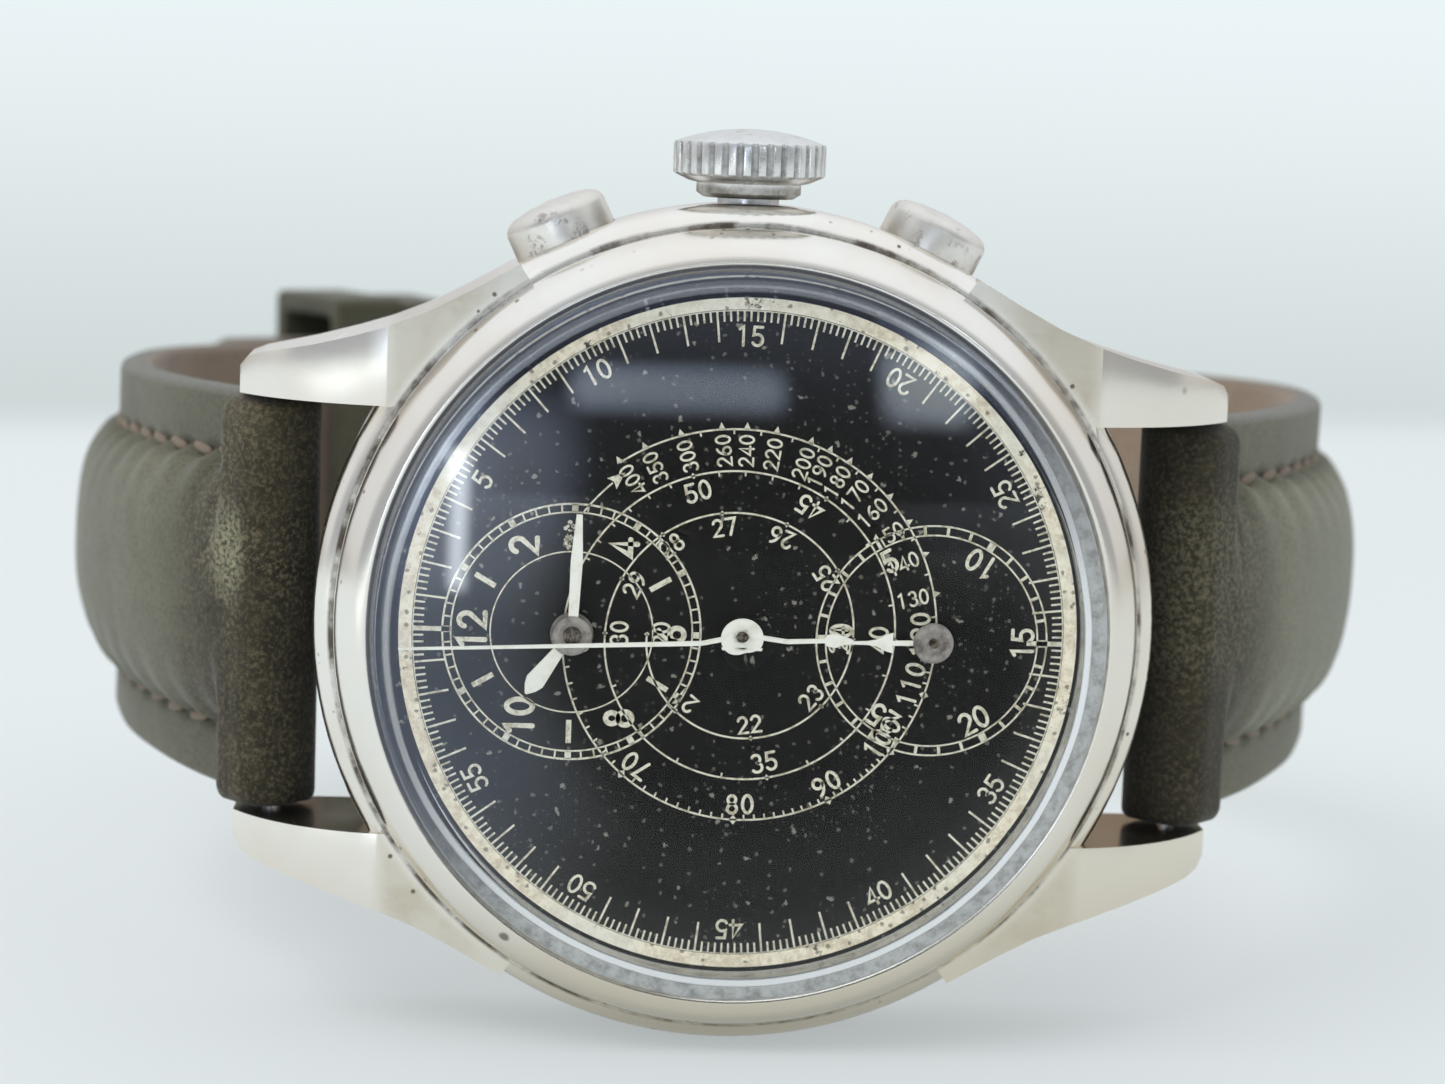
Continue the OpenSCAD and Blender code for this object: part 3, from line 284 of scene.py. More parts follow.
        # the outer end of the arbor is tarnished
        sep = m.n("ShaderNodeSeparateXYZ")
        m.link(co, sep.inputs[0])
        far = m.smooth(m.math("MULTIPLY", sep.outputs[1], -1000.0), tip, tip + 0.1)
        c = m.mix(far, c, m.mix(m.smooth(m.noise(co, 5200, 4, 0.75), 0.4, 0.6), (0.30, 0.27, 0.23), (0.07, 0.045, 0.03)))
        r = m.math("ADD", r, m.math("MULTIPLY", far, 0.35), clamp=True)
    nrm = m.bump(m.math("ADD", m.math("MULTIPLY", scratch.outputs[0], 0.25), m.math("MULTIPLY", n2, 0.9)), 0.35, 0.000012)
    m.principled(c, Metallic=1.0, Roughness=r, Normal=nrm)
    return m.mat


def plain(name, col, rough, metallic=0.0, **kw):
    m = Tree(name)
    m.principled(col, Roughness=rough, Metallic=metallic, **kw)
    return m.mat


def dial_black():
    m = Tree("dial_lacquer")
    co = m.obj()
    big = m.noise(co, 240, 3)
    a = m.specks(3600, 0.24, 0, 0.72)
    b = m.specks(1500, 0.14, 0, 0.58)
    c3 = m.specks(620, 0.075, 0, 0.50)
    cluster = m.smooth(m.noise(co, 260, 3, 0.6), 0.42, 0.62)
    spots = m.math("MAXIMUM", m.math("MULTIPLY", a, m.math("MULTIPLY", cluster, 0.16)), m.math("MAXIMUM", m.math("MULTIPLY", b, 0.30), m.math("MULTIPLY", c3, 0.62)))
    grain = m.noise(co, 5200, 2, 0.7)
    base = m.mix(m.smooth(grain, 0.30, 0.80), (0.0040, 0.0038, 0.0034), (0.0105, 0.0100, 0.0090))
    base = m.mix(m.math("MULTIPLY", m.smooth(big, 0.5, 0.8), 0.5), base, (0.012, 0.012, 0.012))
    c = m.mix(spots, base, (0.42, 0.41, 0.35))
    m.principled(c, Roughness=0.5, **{"Specular IOR Level": 0.18})
    return m.mat


def print_ink():
    m = Tree("dial_print")
    co = m.obj()
    n1 = m.noise(co, 3200, 4, 0.7)
    n2 = m.noise(co, 420, 4, 0.6)
    c = m.mix(m.smooth(n1, 0.44, 0.66), (0.90, 0.86, 0.72), (0.52, 0.46, 0.33))
    c = m.mix(m.math("MULTIPLY", m.smooth(n2, 0.60, 0.72), 0.35), c, (0.16, 0.135, 0.10))
    m.principled(c, Roughness=0.75)
    return m.mat


def ring_cream():
    m = Tree("dial_ring")
    co = m.obj()
    n1 = m.noise(co, 620, 6, 0.75)
    n2 = m.noise(co, 2400, 4, 0.7)
    n3 = m.noise(co, 150, 2, 0.5)
    c = m.mix(m.smooth(n2, 0.35, 0.7), (0.97, 0.89, 0.72), (0.66, 0.56, 0.41))
    c = m.mix(m.math("MULTIPLY", m.smooth(n3, 0.45, 0.65), 0.5), c, (0.86, 0.87, 0.80))
    c = m.mix(m.smooth(n1, 0.60, 0.655), c, (0.055, 0.045, 0.025))
    c = m.mix(m.math("MULTIPLY", m.specks(2300, 0.26, 0, 0.72), 0.7), c, (0.10, 0.07, 0.035))
    q = m.principled(c, Roughness=0.8)
    # painted light: the ring glows faintly in its own colour
    m.link(c, q.inputs["Emission Color"])
    q.inputs["Emission Strength"].default_value = 0.13
    return m.mat


def cream_hand(name, hub=None, rust=None, steel=0.0):
    m = Tree(name)
    co = m.obj()
    n1 = m.noise(co, 1500, 5, 0.7)
    c = m.mix(m.smooth(n1, 0.40, 0.80), (0.96, 0.95, 0.88), (0.74, 0.71, 0.58))
    met, rough = 0.0, 0.5
    if hub:
        d = m.dist_axis(*hub[:2])
        inside = m.math("SUBTRACT", 1.0, m.smooth(d, hub[2] - 0.03, hub[2] + 0.03))
        rings = m.math("MULTIPLY", m.math("ADD", m.math("SINE", m.math("MULTIPLY", d, 17.0)), 1.0), 0.5)
        grey = m.mix(m.smooth(n1, 0.4, 0.7), (0.42, 0.39, 0.36), (0.15, 0.125, 0.12))
        grey = m.mix(m.math("MULTIPLY", rings, 0.28), grey, (0.12, 0.10, 0.09))
        c = m.mix(inside, c, grey)
        met = m.math("MULTIPLY", inside, 0.55)
        rough = m.math("SUBTRACT", 0.5, m.math("MULTIPLY", inside, 0.12))
    if rust:
        d = m.dist_axis(*rust[:2])
        n2 = m.noise(co, 5200, 4, 0.75)
        g = m.math("MULTIPLY", m.math("SUBTRACT", 1.0, m.smooth(d, 0.12, rust[2])), m.smooth(n2, 0.42, 0.58))
        c = m.mix(g, c, (0.12, 0.07, 0.035))
    q = m.principled(c, Roughness=rough, Metallic=met)
    # painted light: the hands glow faintly in their own colour
    m.link(c, q.inputs["Emission Color"])
    q.inputs["Emission Strength"].default_value = 0.07
    return m.mat


WINDOWS = [((-0.46, -0.22, -0.10, 0.18, 0.07), (2.1, 2.4, 3.0)), ((-0.40, -0.37, -0.10, 0.12, 0.015), (15.0, 16.5, 18.0)),
           ((-0.2, 0.12, 0.205, 0.255, 0.03), (4.0, 4.6, 5.4)), ((0.30, 0.44, 0.20, 0.30, 0.035), (5.0, 5.6, 6.0))]


def opening(t, U, V, front, u0, u1, v0, v1, s):
    a = t.math("MULTIPLY", t.smooth(U, u0 - s, u0 + s), t.math("SUBTRACT", 1.0, t.smooth(U, u1 - s, u1 + s)))
    b = t.math("MULTIPLY", t.smooth(V, v0 - s, v0 + s), t.math("SUBTRACT", 1.0, t.smooth(V, v1 - s, v1 + s)))
    return t.math("MULTIPLY", t.math("MULTIPLY", a, b), front)


def crystal_glass():
    m = Tree("acrylic_crystal")
    glass = m.n("ShaderNodeBsdfRefraction", i_IOR=1.49, i_Roughness=0.0)
    glass.inputs["Color"].default_value = (0.985, 0.985, 0.975, 1)
    shine = m.n("ShaderNodeBsdfGlossy", i_Roughness=0.0)
    shine.inputs["Color"].default_value = (1, 1, 1, 1)
    fr = m.n("ShaderNodeFresnel", i_IOR=1.49)
    body = m.n("ShaderNodeMixShader")
    m.link(glass.outputs[0], body.inputs[1])
    m.link(shine.outputs[0], body.inputs[2])
    # painted highlight at the polished edge: a bright metallic line, then a frosted strip, both strongest on the lower
    # right
    r = m.dist_axis(0, 0)
    co = m.obj()
    sx = m.n("ShaderNodeSeparateXYZ")
    m.link(co, sx.inputs[0])
    rm = m.math("MAXIMUM", m.math("MULTIPLY", r, 0.001), 0.0001)
    away = m.math("DIVIDE", m.math("ADD", m.math("MULTIPLY", sx.outputs[0], -0.6), m.math("MULTIPLY", sx.outputs[2], 0.8)), rm)
    outer = m.math("MULTIPLY", m.smooth(r, 6.5, 10.5), m.smooth(away, -0.55, 0.25))
    low = m.math("SUBTRACT", 1.0, m.smooth(away, -0.45, 0.35))
    # painted reflection: the glossy share follows a position mask, strongest in the outer upper-left zone, raised near
    # the rim and in the lower half
    amount = m.math("ADD", m.math("MULTIPLY", outer, 0.85), m.math("ADD", 0.07, m.math("ADD", m.math("MULTIPLY", m.smooth(r, 10.5, 13.5), 0.30), m.math("MULTIPLY", m.math("MULTIPLY", m.smooth(m.math("MULTIPLY", sx.outputs[2], -1000.0), 1.0, 9.0), m.smooth(r, 5.0, 10.0)), 0.19))))
    # painted reflection: the window shapes seen along the reflection vector are added to the crystal as emission
    rv = m.n("ShaderNodeSeparateXYZ")
    m.link(m.n("ShaderNodeTexCoord").outputs["Reflection"], rv.inputs[0])
    fy = m.math("MAXIMUM", m.math("MULTIPLY", rv.outputs[1], -1.0), 0.001)
    ru, rw = m.math("DIVIDE", rv.outputs[0], fy), m.math("DIVIDE", rv.outputs[2], fy)
    rf = m.smooth(m.math("MULTIPLY", rv.outputs[1], -1.0), 0.05, 0.25)
    open_any, glow_col = 0.0, (0.0, 0.0, 0.0)
    for rect, glow in WINDOWS:
        w = opening(m, ru, rw, rf, *rect)
        open_any = m.math("MAXIMUM", open_any, w)
        glow_col = m.mix(w, glow_col, glow)
    level = m.math("MULTIPLY", fr.outputs[0], amount, clamp=True)
    m.link(m.math("MULTIPLY", level, m.math("SUBTRACT", 1.0, open_any)), body.inputs[0])
    lit = m.n("ShaderNodeEmission")
    m.link(glow_col, lit.inputs["Color"])
    m.link(m.math("MULTIPLY", level, 0.80), lit.inputs["Strength"])
    whole = m.n("ShaderNodeAddShader")
    m.link(body.outputs[0], whole.inputs[0])
    m.link(lit.outputs[0], whole.inputs[1])
    # painted reflection: the reflection is tinted blue in the outer upper-left zone
    m.link(m.mix(outer, (1.0, 1.0, 1.0), (0.86, 0.95, 1.20)), shine.inputs["Color"])
    wob = m.math("MULTIPLY", m.math("SUBTRACT", m.noise(co, 300, 3), 0.5), 0.10)
    rr = m.math("ADD", m.math("ADD", r, wob), m.math("MULTIPLY", low, 0.26))
    line = m.math("MULTIPLY", m.smooth(rr, 14.33, 14.42), m.math("SUBTRACT", 1.0, m.smooth(rr, 14.60, 14.70)))
    frost = m.smooth(rr, 14.60, 14.72)
    bright = m.n("ShaderNodeBsdfPrincipled", i_Metallic=1.0, i_Roughness=0.22)
    bright.inputs["Base Color"].default_value = (0.97, 0.98, 0.99, 1)
    dull = m.n("ShaderNodeBsdfPrincipled", i_Metallic=0.6, i_Roughness=0.42)
    # painted shade: the frosted strip is dark blue-grey on the upper-left side and light grey on the lower right
    m.link(m.mix(low, (0.10, 0.11, 0.14), m.mix(m.smooth(m.noise(co, 1500, 5, 0.7), 0.38, 0.70), (0.66, 0.67, 0.66), (0.36, 0.355, 0.34))), dull.inputs["Base Color"])
    e1 = m.n("ShaderNodeMixShader")
    m.link(m.math("MULTIPLY", frost, m.math("ADD", 0.45, m.math("MULTIPLY", low, 0.35))), e1.inputs[0])
    m.link(whole.outputs[0], e1.inputs[1])
    m.link(dull.outputs[0], e1.inputs[2])
    e2 = m.n("ShaderNodeMixShader")
    m.link(m.math("MULTIPLY", line, m.math("ADD", 0.22, m.math("MULTIPLY", low, 0.70))), e2.inputs[0])
    m.link(e1.outputs[0], e2.inputs[1])
    m.link(bright.outputs[0], e2.inputs[2])
    clear = m.n("ShaderNodeBsdfTransparent")
    clear.inputs["Color"].default_value = (0.97, 0.975, 0.97, 1)
    lp = m.n("ShaderNodeLightPath")
    f = m.math("MAXIMUM", lp.outputs["Is Shadow Ray"], lp.outputs["Is Diffuse Ray"])
    mx = m.n("ShaderNodeMixShader")
    m.link(f, mx.inputs[0])
    m.link(e2.outputs[0], mx.inputs[1])
    m.link(clear.outputs[0], mx.inputs[2])
    m.link(mx.outputs[0], m.out.inputs["Surface"])
    return m.mat


def suede(name, dark, light, edge, worn):
    """leather with a short nap; the point attribute strap_tone holds (wear near the lug, cut edge, margin)"""
    m = Tree(name)
    co = m.obj()
    att = m.n("ShaderNodeAttribute", attribute_name="strap_tone")
    sep = m.n("ShaderNodeSeparateColor")
    m.link(att.outputs["Color"], sep.inputs[0])
    fine = m.noise(co, 5200, 3, 0.7)
    mid = m.noise(co, 900, 5, 0.65)
    low = m.noise(co, 120, 3, 0.55)
    c = m.mix(m.smooth(low, 0.3, 0.7), light, tuple(v * 0.80 for v in light))
    c = m.mix(m.math("MULTIPLY", m.smooth(mid, 0.42, 0.68), 0.35), c, tuple(v * 0.62 for v in light))
    d = m.mix(m.smooth(mid, 0.35, 0.68), dark, tuple(v * 0.55 for v in dark))
    grit = m.noise(co, 5000, 3, 0.75)
    patch = m.smooth(m.noise(co, 130, 3, 0.6), 0.40, 0.66)
    speck = m.math("MULTIPLY", m.smooth(grit, 0.46, 0.64), m.math("ADD", m.math("MULTIPLY", patch, 0.65), 0.35), clamp=True)
    d = m.mix(speck, d, worn)
    rub = m.math("MULTIPLY", m.smooth(m.noise(co, 75, 2, 0.5), 0.62, 0.72), m.smooth(grit, 0.42, 0.56))
    d = m.mix(m.math("MULTIPLY", rub, 0.45), d, (0.24, 0.225, 0.14))
    sx = m.n("ShaderNodeSeparateXYZ")
    m.link(co, sx.inputs[0])
    # painted light: a lighter, speckled patch in the worn colour towards the top left
    top_left_painted_light = m.math("MULTIPLY", m.smooth(sx.outputs[2], 0.003, 0.013), m.smooth(m.math("MULTIPLY", sx.outputs[0], -1.0), 0.0, 0.01))
    d = m.mix(m.math("MULTIPLY", top_left_painted_light, m.math("ADD", 0.34, m.math("MULTIPLY", m.smooth(grit, 0.40, 0.60), 0.5))), d, worn)
    ex = m.math("DIVIDE", m.math("ADD", sx.outputs[0], 0.0216), 0.0011)
    ez = m.math("DIVIDE", m.math("SUBTRACT", sx.outputs[2], 0.0022), 0.0030)
    er = m.math("SQRT", m.math("ADD", m.math("MULTIPLY", ex, ex), m.math("MULTIPLY", ez, ez)))
    spot = m.math("MULTIPLY", m.math("SUBTRACT", 1.0, m.smooth(er, 0.25, 1.0)), m.smooth(grit, 0.36, 0.58))
    d = m.mix(m.math("MULTIPLY", spot, 0.75), d, (0.36, 0.345, 0.215))
    # painted light: on the right side the light tone is lifted and the dark tone deepened
    right = m.smooth(sx.outputs[0], 0.010, 0.018)
    c = m.mix(m.math("MULTIPLY", right, 0.45), c, tuple(v * 1.6 for v in light))
    d = m.mix(m.math("MULTIPLY", right, 0.30), d, tuple(v * 0.7 for v in dark))
    c = m.mix(m.math("MULTIPLY", sep.outputs[2], 0.30), c, tuple(v * 0.45 for v in light))
    c = m.mix(sep.outputs[0], c, d)
    c = m.mix(sep.outputs[1], c, edge)
    c = m.mix(m.math("MULTIPLY", m.smooth(fine, 0.42, 0.66), 0.30), c, (0.012, 0.011, 0.009))
    h = m.math("ADD", m.math("MULTIPLY", fine, 0.6), m.math("MULTIPLY", mid, 0.8))
    nrm = m.bump(h, 0.5, 0.00007)
    m.principled(c, Roughness=0.88, Normal=nrm, **{"Sheen Weight": 0.22, "Sheen Roughness": 0.5, "Specular IOR Level": 0.2})
    return m.mat


TIP = -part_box("dial")[0][1] * 1000.0 + 0.4
M = {
    "nickel": metal("polished_nickel", (0.93, 0.90, 0.845), 0.15, 0.25, grime_and_painted_reflections=True, tint=(0.88, 0.795, 0.70)),
    "crown": metal("crown_nickel", (0.82, 0.815, 0.80), 0.22, 0.9, stain=0.5, grooves=True),
    "pusher": metal("pusher_nickel", (0.84, 0.81, 0.76), 0.30, 0.9, tint=(0.76, 0.70, 0.60), stain=0.75),
    "steel": metal("steel", (0.60, 0.60, 0.61), 0.25, 0.3, tip=TIP),
    "plated": metal("plated", (0.72, 0.71, 0.67), 0.28, 0.2),
    "brass": metal("brass", (0.80, 0.62, 0.30), 0.25, 0.3, tip=TIP),
    "gilt": metal("gilt", (0.82, 0.70, 0.45), 0.25, 0.2, tip=TIP),
    "blued": plain("blued_steel", (0.04, 0.07, 0.22), 0.2, 1.0),
    "ruby": plain("ruby", (0.55, 0.03, 0.12), 0.1),
    "dial": dial_black(),
    "print": print_ink(),
    "ring": ring_cream(),
    "crystal": crystal_glass(),
    "hour": cream_hand("cream_hour", hub=(-6.9, 0, 0.90)),
    "minute": cream_hand("cream_minute", hub=(-6.9, 0, 0.82)),
    "seconds": cream_hand("cream_seconds", rust=(0, 0, 0.46)),
    "counter": cream_hand("cream_counter", hub=(7.95, 0, 0.85)),
    "suede": suede("olive_suede", (0.056, 0.048, 0.029), (0.190, 0.186, 0.130), (0.175, 0.170, 0.143), (0.195, 0.162, 0.098)),
    "keeper": suede("keeper_leather", (0.056, 0.048, 0.029), (0.112, 0.108, 0.070), (0.17, 0.16, 0.125), (0.165, 0.135, 0.078)),
    "lining": suede("tan_lining", (0.23, 0.17, 0.12), (0.33, 0.25, 0.185), (0.24, 0.19, 0.145), (0.30, 0.235, 0.17)),
    "thread": plain("tan_thread", (0.235, 0.185, 0.14), 0.85),
}
slot_of = {s["node"]: s["material_slot"] for s in frame["record"].get("subparts", []) if "material_slot" in s}
for name, ob in nodes.items():
    key = slot_of.get(name, "steel")
    key = {"cream": {"hour_hand": "hour", "minute_hand": "minute", "seconds_hand": "seconds", "counter_hand": "counter"}.get(name, "hour")}.get(key, key)
    if name == "crown":
        key = "crown"
    if name in ("start_pusher", "reset_pusher"):
        key = "pusher"
    if name in ("fixed_keeper", "sliding_keeper"):
        key = "keeper"
    ob.data.materials.clear()
    ob.data.materials.append(M.get(key, M["steel"]))


def soften(name, width, segments=3, angle=32):
    ob = nodes[name]
    w = ob.modifiers.new("weld", "WELD")
    w.merge_threshold = 2e-6
    b = ob.modifiers.new("bevel", "BEVEL")
    b.width = width * MM
    b.segments = segments
    b.limit_method = "ANGLE"
    b.angle_limit = math.radians(angle)
    b.use_clamp_overlap = True
    b.harden_normals = False
    b.miter_outer = "MITER_ARC"


for name, width, seg in (("midcase", 0.26, 4), ("bezel", 0.06, 2), ("case_back", 0.1, 2), ("crown", 0.05, 2), ("start_pusher", 0.30, 5), ("reset_pusher", 0.30, 5),
                         ("buckle_frame", 0.22, 3), ("buckle_tongue", 0.2, 3), ("fixed_keeper", 0.4, 3), ("sliding_keeper", 0.4, 3)):
    soften(name, width, seg)


def put(name, verts, faces, mat, body, smooth=False, tone=None):
    me = bpy.data.meshes.new(name)
    me.from_pydata([(x * MM, y * MM, z * MM) for x, y, z in verts], [], faces)
    me.materials.append(mat)
    if smooth:
        me.polygons.foreach_set("use_smooth", [True] * len(me.polygons))
    if tone:
        at = me.color_attributes.new("strap_tone", "FLOAT_COLOR", "POINT")
        at.data.foreach_set("color", [c for t in tone for c in (*t, 1.0)])
    me.update()
    ob = bpy.data.objects.new(name, me)
    sc.collection.objects.link(ob)
    if body:
        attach(ob, body)
    return ob


# ---------------------------------------------------------------- dial printing
T = (-6.9, 0.0)
C = (7.95, 0.0)


class Sheet:
    """flat shapes at one height over the dial; x towards 6 o'clock, y towards 3 o'clock"""

    def __init__(self, z):
        self.z, self.v, self.f = z, [], []

    def add(self, x, y):
        self.v.append((x, -self.z, y))
        return len(self.v) - 1

    def poly(self, pts):
        self.f.append([self.add(*p) for p in pts])

    def stroke(self, pts, w, closed=False, caps=True):
        h, n = w / 2, len(pts)
        left, right = [], []
        for i, p in enumerate(pts):
            a = pts[(i - 1) % n] if (closed or i) else p
            b = pts[(i + 1) % n] if (closed or i < n - 1) else p
            d1 = (p[0] - a[0], p[1] - a[1])
            d2 = (b[0] - p[0], b[1] - p[1])
            l1, l2 = math.hypot(*d1), math.hypot(*d2)
            if l1 < 1e-9:
                d1, l1 = d2, l2
            if l2 < 1e-9:
                d2, l2 = d1, l1
            n1, n2 = (-d1[1] / l1, d1[0] / l1), (-d2[1] / l2, d2[0] / l2)
            s = (n1[0] + n2[0], n1[1] + n2[1])
            k = h / max(0.5, (s[0] ** 2 + s[1] ** 2) / 2)
            o = (s[0] * k, s[1] * k)
            left.append(self.add(p[0] + o[0], p[1] + o[1]))
            right.append(self.add(p[0] - o[0], p[1] - o[1]))
        for i in range(n if closed else n - 1):
            j = (i + 1) % n
            self.f.append([right[i], right[j], left[j], left[i]])
        if caps and not closed:
            for p, q in ((pts[0], pts[1]), (pts[-1], pts[-2])):
                a = math.atan2(p[1] - q[1], p[0] - q[0])
                self.poly([(p[0] + h * math.cos(a + t), p[1] + h * math.sin(a + t)) for t in [math.pi * (k / 5 - 0.5) for k in range(6)]])

    def circle(self, c, r, w, n=160):
        self.stroke([(c[0] + r * math.cos(2 * math.pi * i / n), c[1] + r * math.sin(2 * math.pi * i / n)) for i in range(n)], w, closed=True)


def arc(cx, cy, rx, ry, a0, a1, n=14):
    return [(cx + rx * math.cos(math.radians(a0 + (a1 - a0) * i / n)), cy + ry * math.sin(math.radians(a0 + (a1 - a0) * i / n))) for i in range(n + 1)]


DIGITS = {
    "0": [(arc(0.3, 0.5, 0.25, 0.46, 0, 360, 24)[:-1], True)],
    "1": [([(0.12, 0.84), (0.30, 0.97), (0.30, 0.03)], False)],
    "2": [(arc(0.3, 0.70, 0.24, 0.26, 165, -35) + [(0.06, 0.04), (0.57, 0.04)], False)],
    "3": [(arc(0.29, 0.73, 0.22, 0.23, 150, -80) , False), (arc(0.28, 0.28, 0.26, 0.25, 85, -150), False)],
    "4": [([(0.44, 0.03), (0.44, 0.97), (0.03, 0.27), (0.60, 0.27)], False)],
    "5": [([(0.53, 0.96), (0.13, 0.96), (0.09, 0.56)] + arc(0.28, 0.32, 0.26, 0.28, 110, -150), False)],
    "6": [(arc(0.3, 0.29, 0.24, 0.25, 0, 360, 18)[:-1], True), (arc(0.56, 0.30, 0.50, 0.66, 104, 176), False)],
    "7": [([(0.05, 0.96), (0.56, 0.96), (0.22, 0.03)], False)],
    "8": [(arc(0.3, 0.74, 0.20, 0.22, 0, 360, 18)[:-1], True), (arc(0.3, 0.27, 0.24, 0.24, 0, 360, 18)[:-1], True)],
    "9": [(arc(0.3, 0.71, 0.24, 0.25, 0, 360, 18)[:-1], True), (arc(0.04, 0.70, 0.50, 0.66, -76, -4), False)],
}


def number(sh, text, pos, right, h, w, adv=0.72):
    up = (-right[1], right[0])
    total = adv * h * (len(text) - 1) + 0.6 * h
    for k, ch in enumerate(text):
        x0 = -total / 2 + k * adv * h
        for pts, closed in DIGITS[ch]:
            q = [(x0 + px * h, (py - 0.5) * h) for px, py in pts]
            sh.stroke([(pos[0] + x * right[0] + y * up[0], pos[1] + x * right[1] + y * up[1]) for x, y in q], w, closed)


def clock(theta):
    """unit vector for an angle clockwise from 12 o'clock"""
    t = math.radians(theta)
    return (-math.cos(t), math.sin(t))


def on(c, theta, r):
    d = clock(theta)
    return (c[0] + d[0] * r, c[1] + d[1] * r)


def tangent_right(theta):
    """reading direction: tops outwards in the upper half of the watch, inwards in the lower"""
    t = math.radians(theta)
    s = 1 if math.cos(t) > -1e-6 else -1
    return (s * math.sin(t), s * math.cos(t))


ink = Sheet(8.563)
# one fifth second scale
ink.circle((0, 0), 13.40, 0.05, 240)
for i in range(300):
    th = i * 1.2
    if i % 5:
        ink.stroke([on((0, 0), th, 13.38), on((0, 0), th, 12.96)], 0.085, caps=False)
    elif i % 25:
        ink.stroke([on((0, 0), th, 13.38), on((0, 0), th, 12.14)], 0.09, caps=False)
    else:
        ink.stroke([on((0, 0), th, 13.38), on((0, 0), th, 12.96 if i % 150 else 11.9)], 0.085 if i % 150 else 0.2, caps=False)
for n in range(5, 60, 5):
    if n != 30:
        number(ink, str(n), on((0, 0), n * 6, 12.36), tangent_right(n * 6), 0.82, 0.12)
# time sub-dial
ink.circle(T, 5.29, 0.085)
ink.circle(T, 4.95, 0.07)
ink.circle(T, 3.33, 0.06)
for i in range(60):
    ink.stroke([on(T, i * 6, 4.95), on(T, i * 6, 5.29)], 0.26 if i % 5 == 0 else 0.075, caps=False)
for hr in range(1, 13):
    if hr % 2 == 0:
        number(ink, str(hr), on(T, hr * 30, 4.08), (0, 1), 1.16, 0.22, 0.70)
    elif hr != 3:
        ink.stroke([on(T, hr * 30, 3.65), on(T, hr * 30, 4.62)], 0.22, caps=False)
rnd = random.Random(4)
for k in range(34):
    a, r = rnd.uniform(0, 2 * math.pi), rnd.uniform(0, 1) ** 0.6
    q = (T[0] + 0.30 * r * math.cos(a) - 0.12, T[1] + 4.0 + 0.55 * r * math.sin(a))
    e = rnd.uniform(0.05, 0.13)
    ink.poly([(q[0] + e * math.cos(b), q[1] + e * math.sin(b)) for b in [j * math.pi / 2.5 + a for j in range(5)]])
# minute counter
ink.circle(C, 4.79, 0.075)
ink.circle(C, 4.40, 0.07)
for i in range(30):
    ink.stroke([on(C, i * 12, 4.40), on(C, i * 12, 4.79)], 0.30 if i % 5 == 0 else 0.13, caps=False)
for n in range(5, 35, 5):
    number(ink, str(n), on(C, n * 12, 3.78), tangent_right(n * 12), 0.92, 0.15)
# snail scale of speeds: one turn a minute, value 3600 / seconds


def snail(t):
    return 8.71 - 1.72 * (t - 9.0) / 60.0


def spot(t, off=0.0):
    return on((0, 0), 6 * t, snail(t) + off)


ink.stroke([spot(9 + (180 - 9) * i / 420) for i in range(421)], 0.08)
ink.stroke([on((0, 0), 37 + i * 1.3, 8.22) for i in range(10)], 0.075)
tip = on((0, 0), 53.5, 8.26)
back = on((0, 0), 48.5, 8.22)
d = (tip[0] - back[0], tip[1] - back[1])
ink.poly([tip, (back[0] - d[1] * 0.42, back[1] + d[0] * 0.42), (back[0] + d[0] * 0.18, back[1] + d[1] * 0.18), (back[0] + d[1] * 0.42, back[1] - d[0] * 0.42)])


def tick(t, length, w=0.075):
    ink.stroke([spot(t, 0.02), spot(t, -length)], w, caps=False)


def wedge(t, s=0.15):
    a, b, c = spot(t - s * 60 / (2 * math.pi * snail(t)), 0), spot(t, 0.30), spot(t + s * 60 / (2 * math.pi * snail(t)), 0)
    ink.poly([a, b, c])


def diamond(t, s=0.17):
    e = s * 60 / (2 * math.pi * snail(t))
    ink.poly([spot(t - e), spot(t, s * 1.2), spot(t + e), spot(t, -s * 1.2)])


for v in (400, 350, 300, 260, 240, 220, 200, 190, 180, 170, 160, 150, 140, 130):
    t = 3600 / v
    wedge(t)
    number(ink, str(v), spot(t, -0.88), clock(6 * t), 0.62, 0.095, 0.74)
for v in (280, 250, 230, 210, 195, 185, 175, 165, 155, 145, 135, 125):
    tick(3600 / v, 0.2)
for v in (120, 110, 100, 90, 80, 70, 60):
    t = 3600 / v
    diamond(t)
    number(ink, str(v), spot(t - 0.35, -0.66), tangent_right(6 * (t - 0.35)), 0.80, 0.13, 0.80)
for v in [118, 116, 114, 112, 108, 106, 104, 102] + [u for u in range(61, 100) if u % 10]:
    tick(3600 / v, 0.22)
for v in (50, 45, 40, 35):
    t = 3600 / v
    diamond(t, 0.11)
    number(ink, str(v), spot(t + (-0.6 if v == 45 else 0), -0.66), tangent_right(6 * t), 0.78, 0.12, 0.76)
for v in [u for u in range(31, 60) if u not in (50, 45, 40, 35)]:
    tick(3600 / v, 0.2)
for v in (30, 29, 28, 27, 26, 25, 24, 23, 22, 21, 20):
    t = 3600 / v
    diamond(t, 0.1)
    number(ink, str(v), spot(t, -0.58), tangent_right(6 * t), 0.72, 0.115, 0.76)
printing = put("dial_printing", ink.v, ink.f, M["print"], "case")

ring = Sheet(8.560)
ring.circle((0, 0), 13.72, 0.55, 240)
put("dial_ring", ring.v, ring.f, M["ring"], "case")


# ---------------------------------------------------------------- strap
def loop(t):
    s = math.sin(math.radians(t))
    return (30.3 * math.cos(math.radians(t)) + 1.3 * min(1.0, max(0.0, (s + 0.7626) / 0.7626)), 24 + (34.6 if s < 0 else 21) * s)


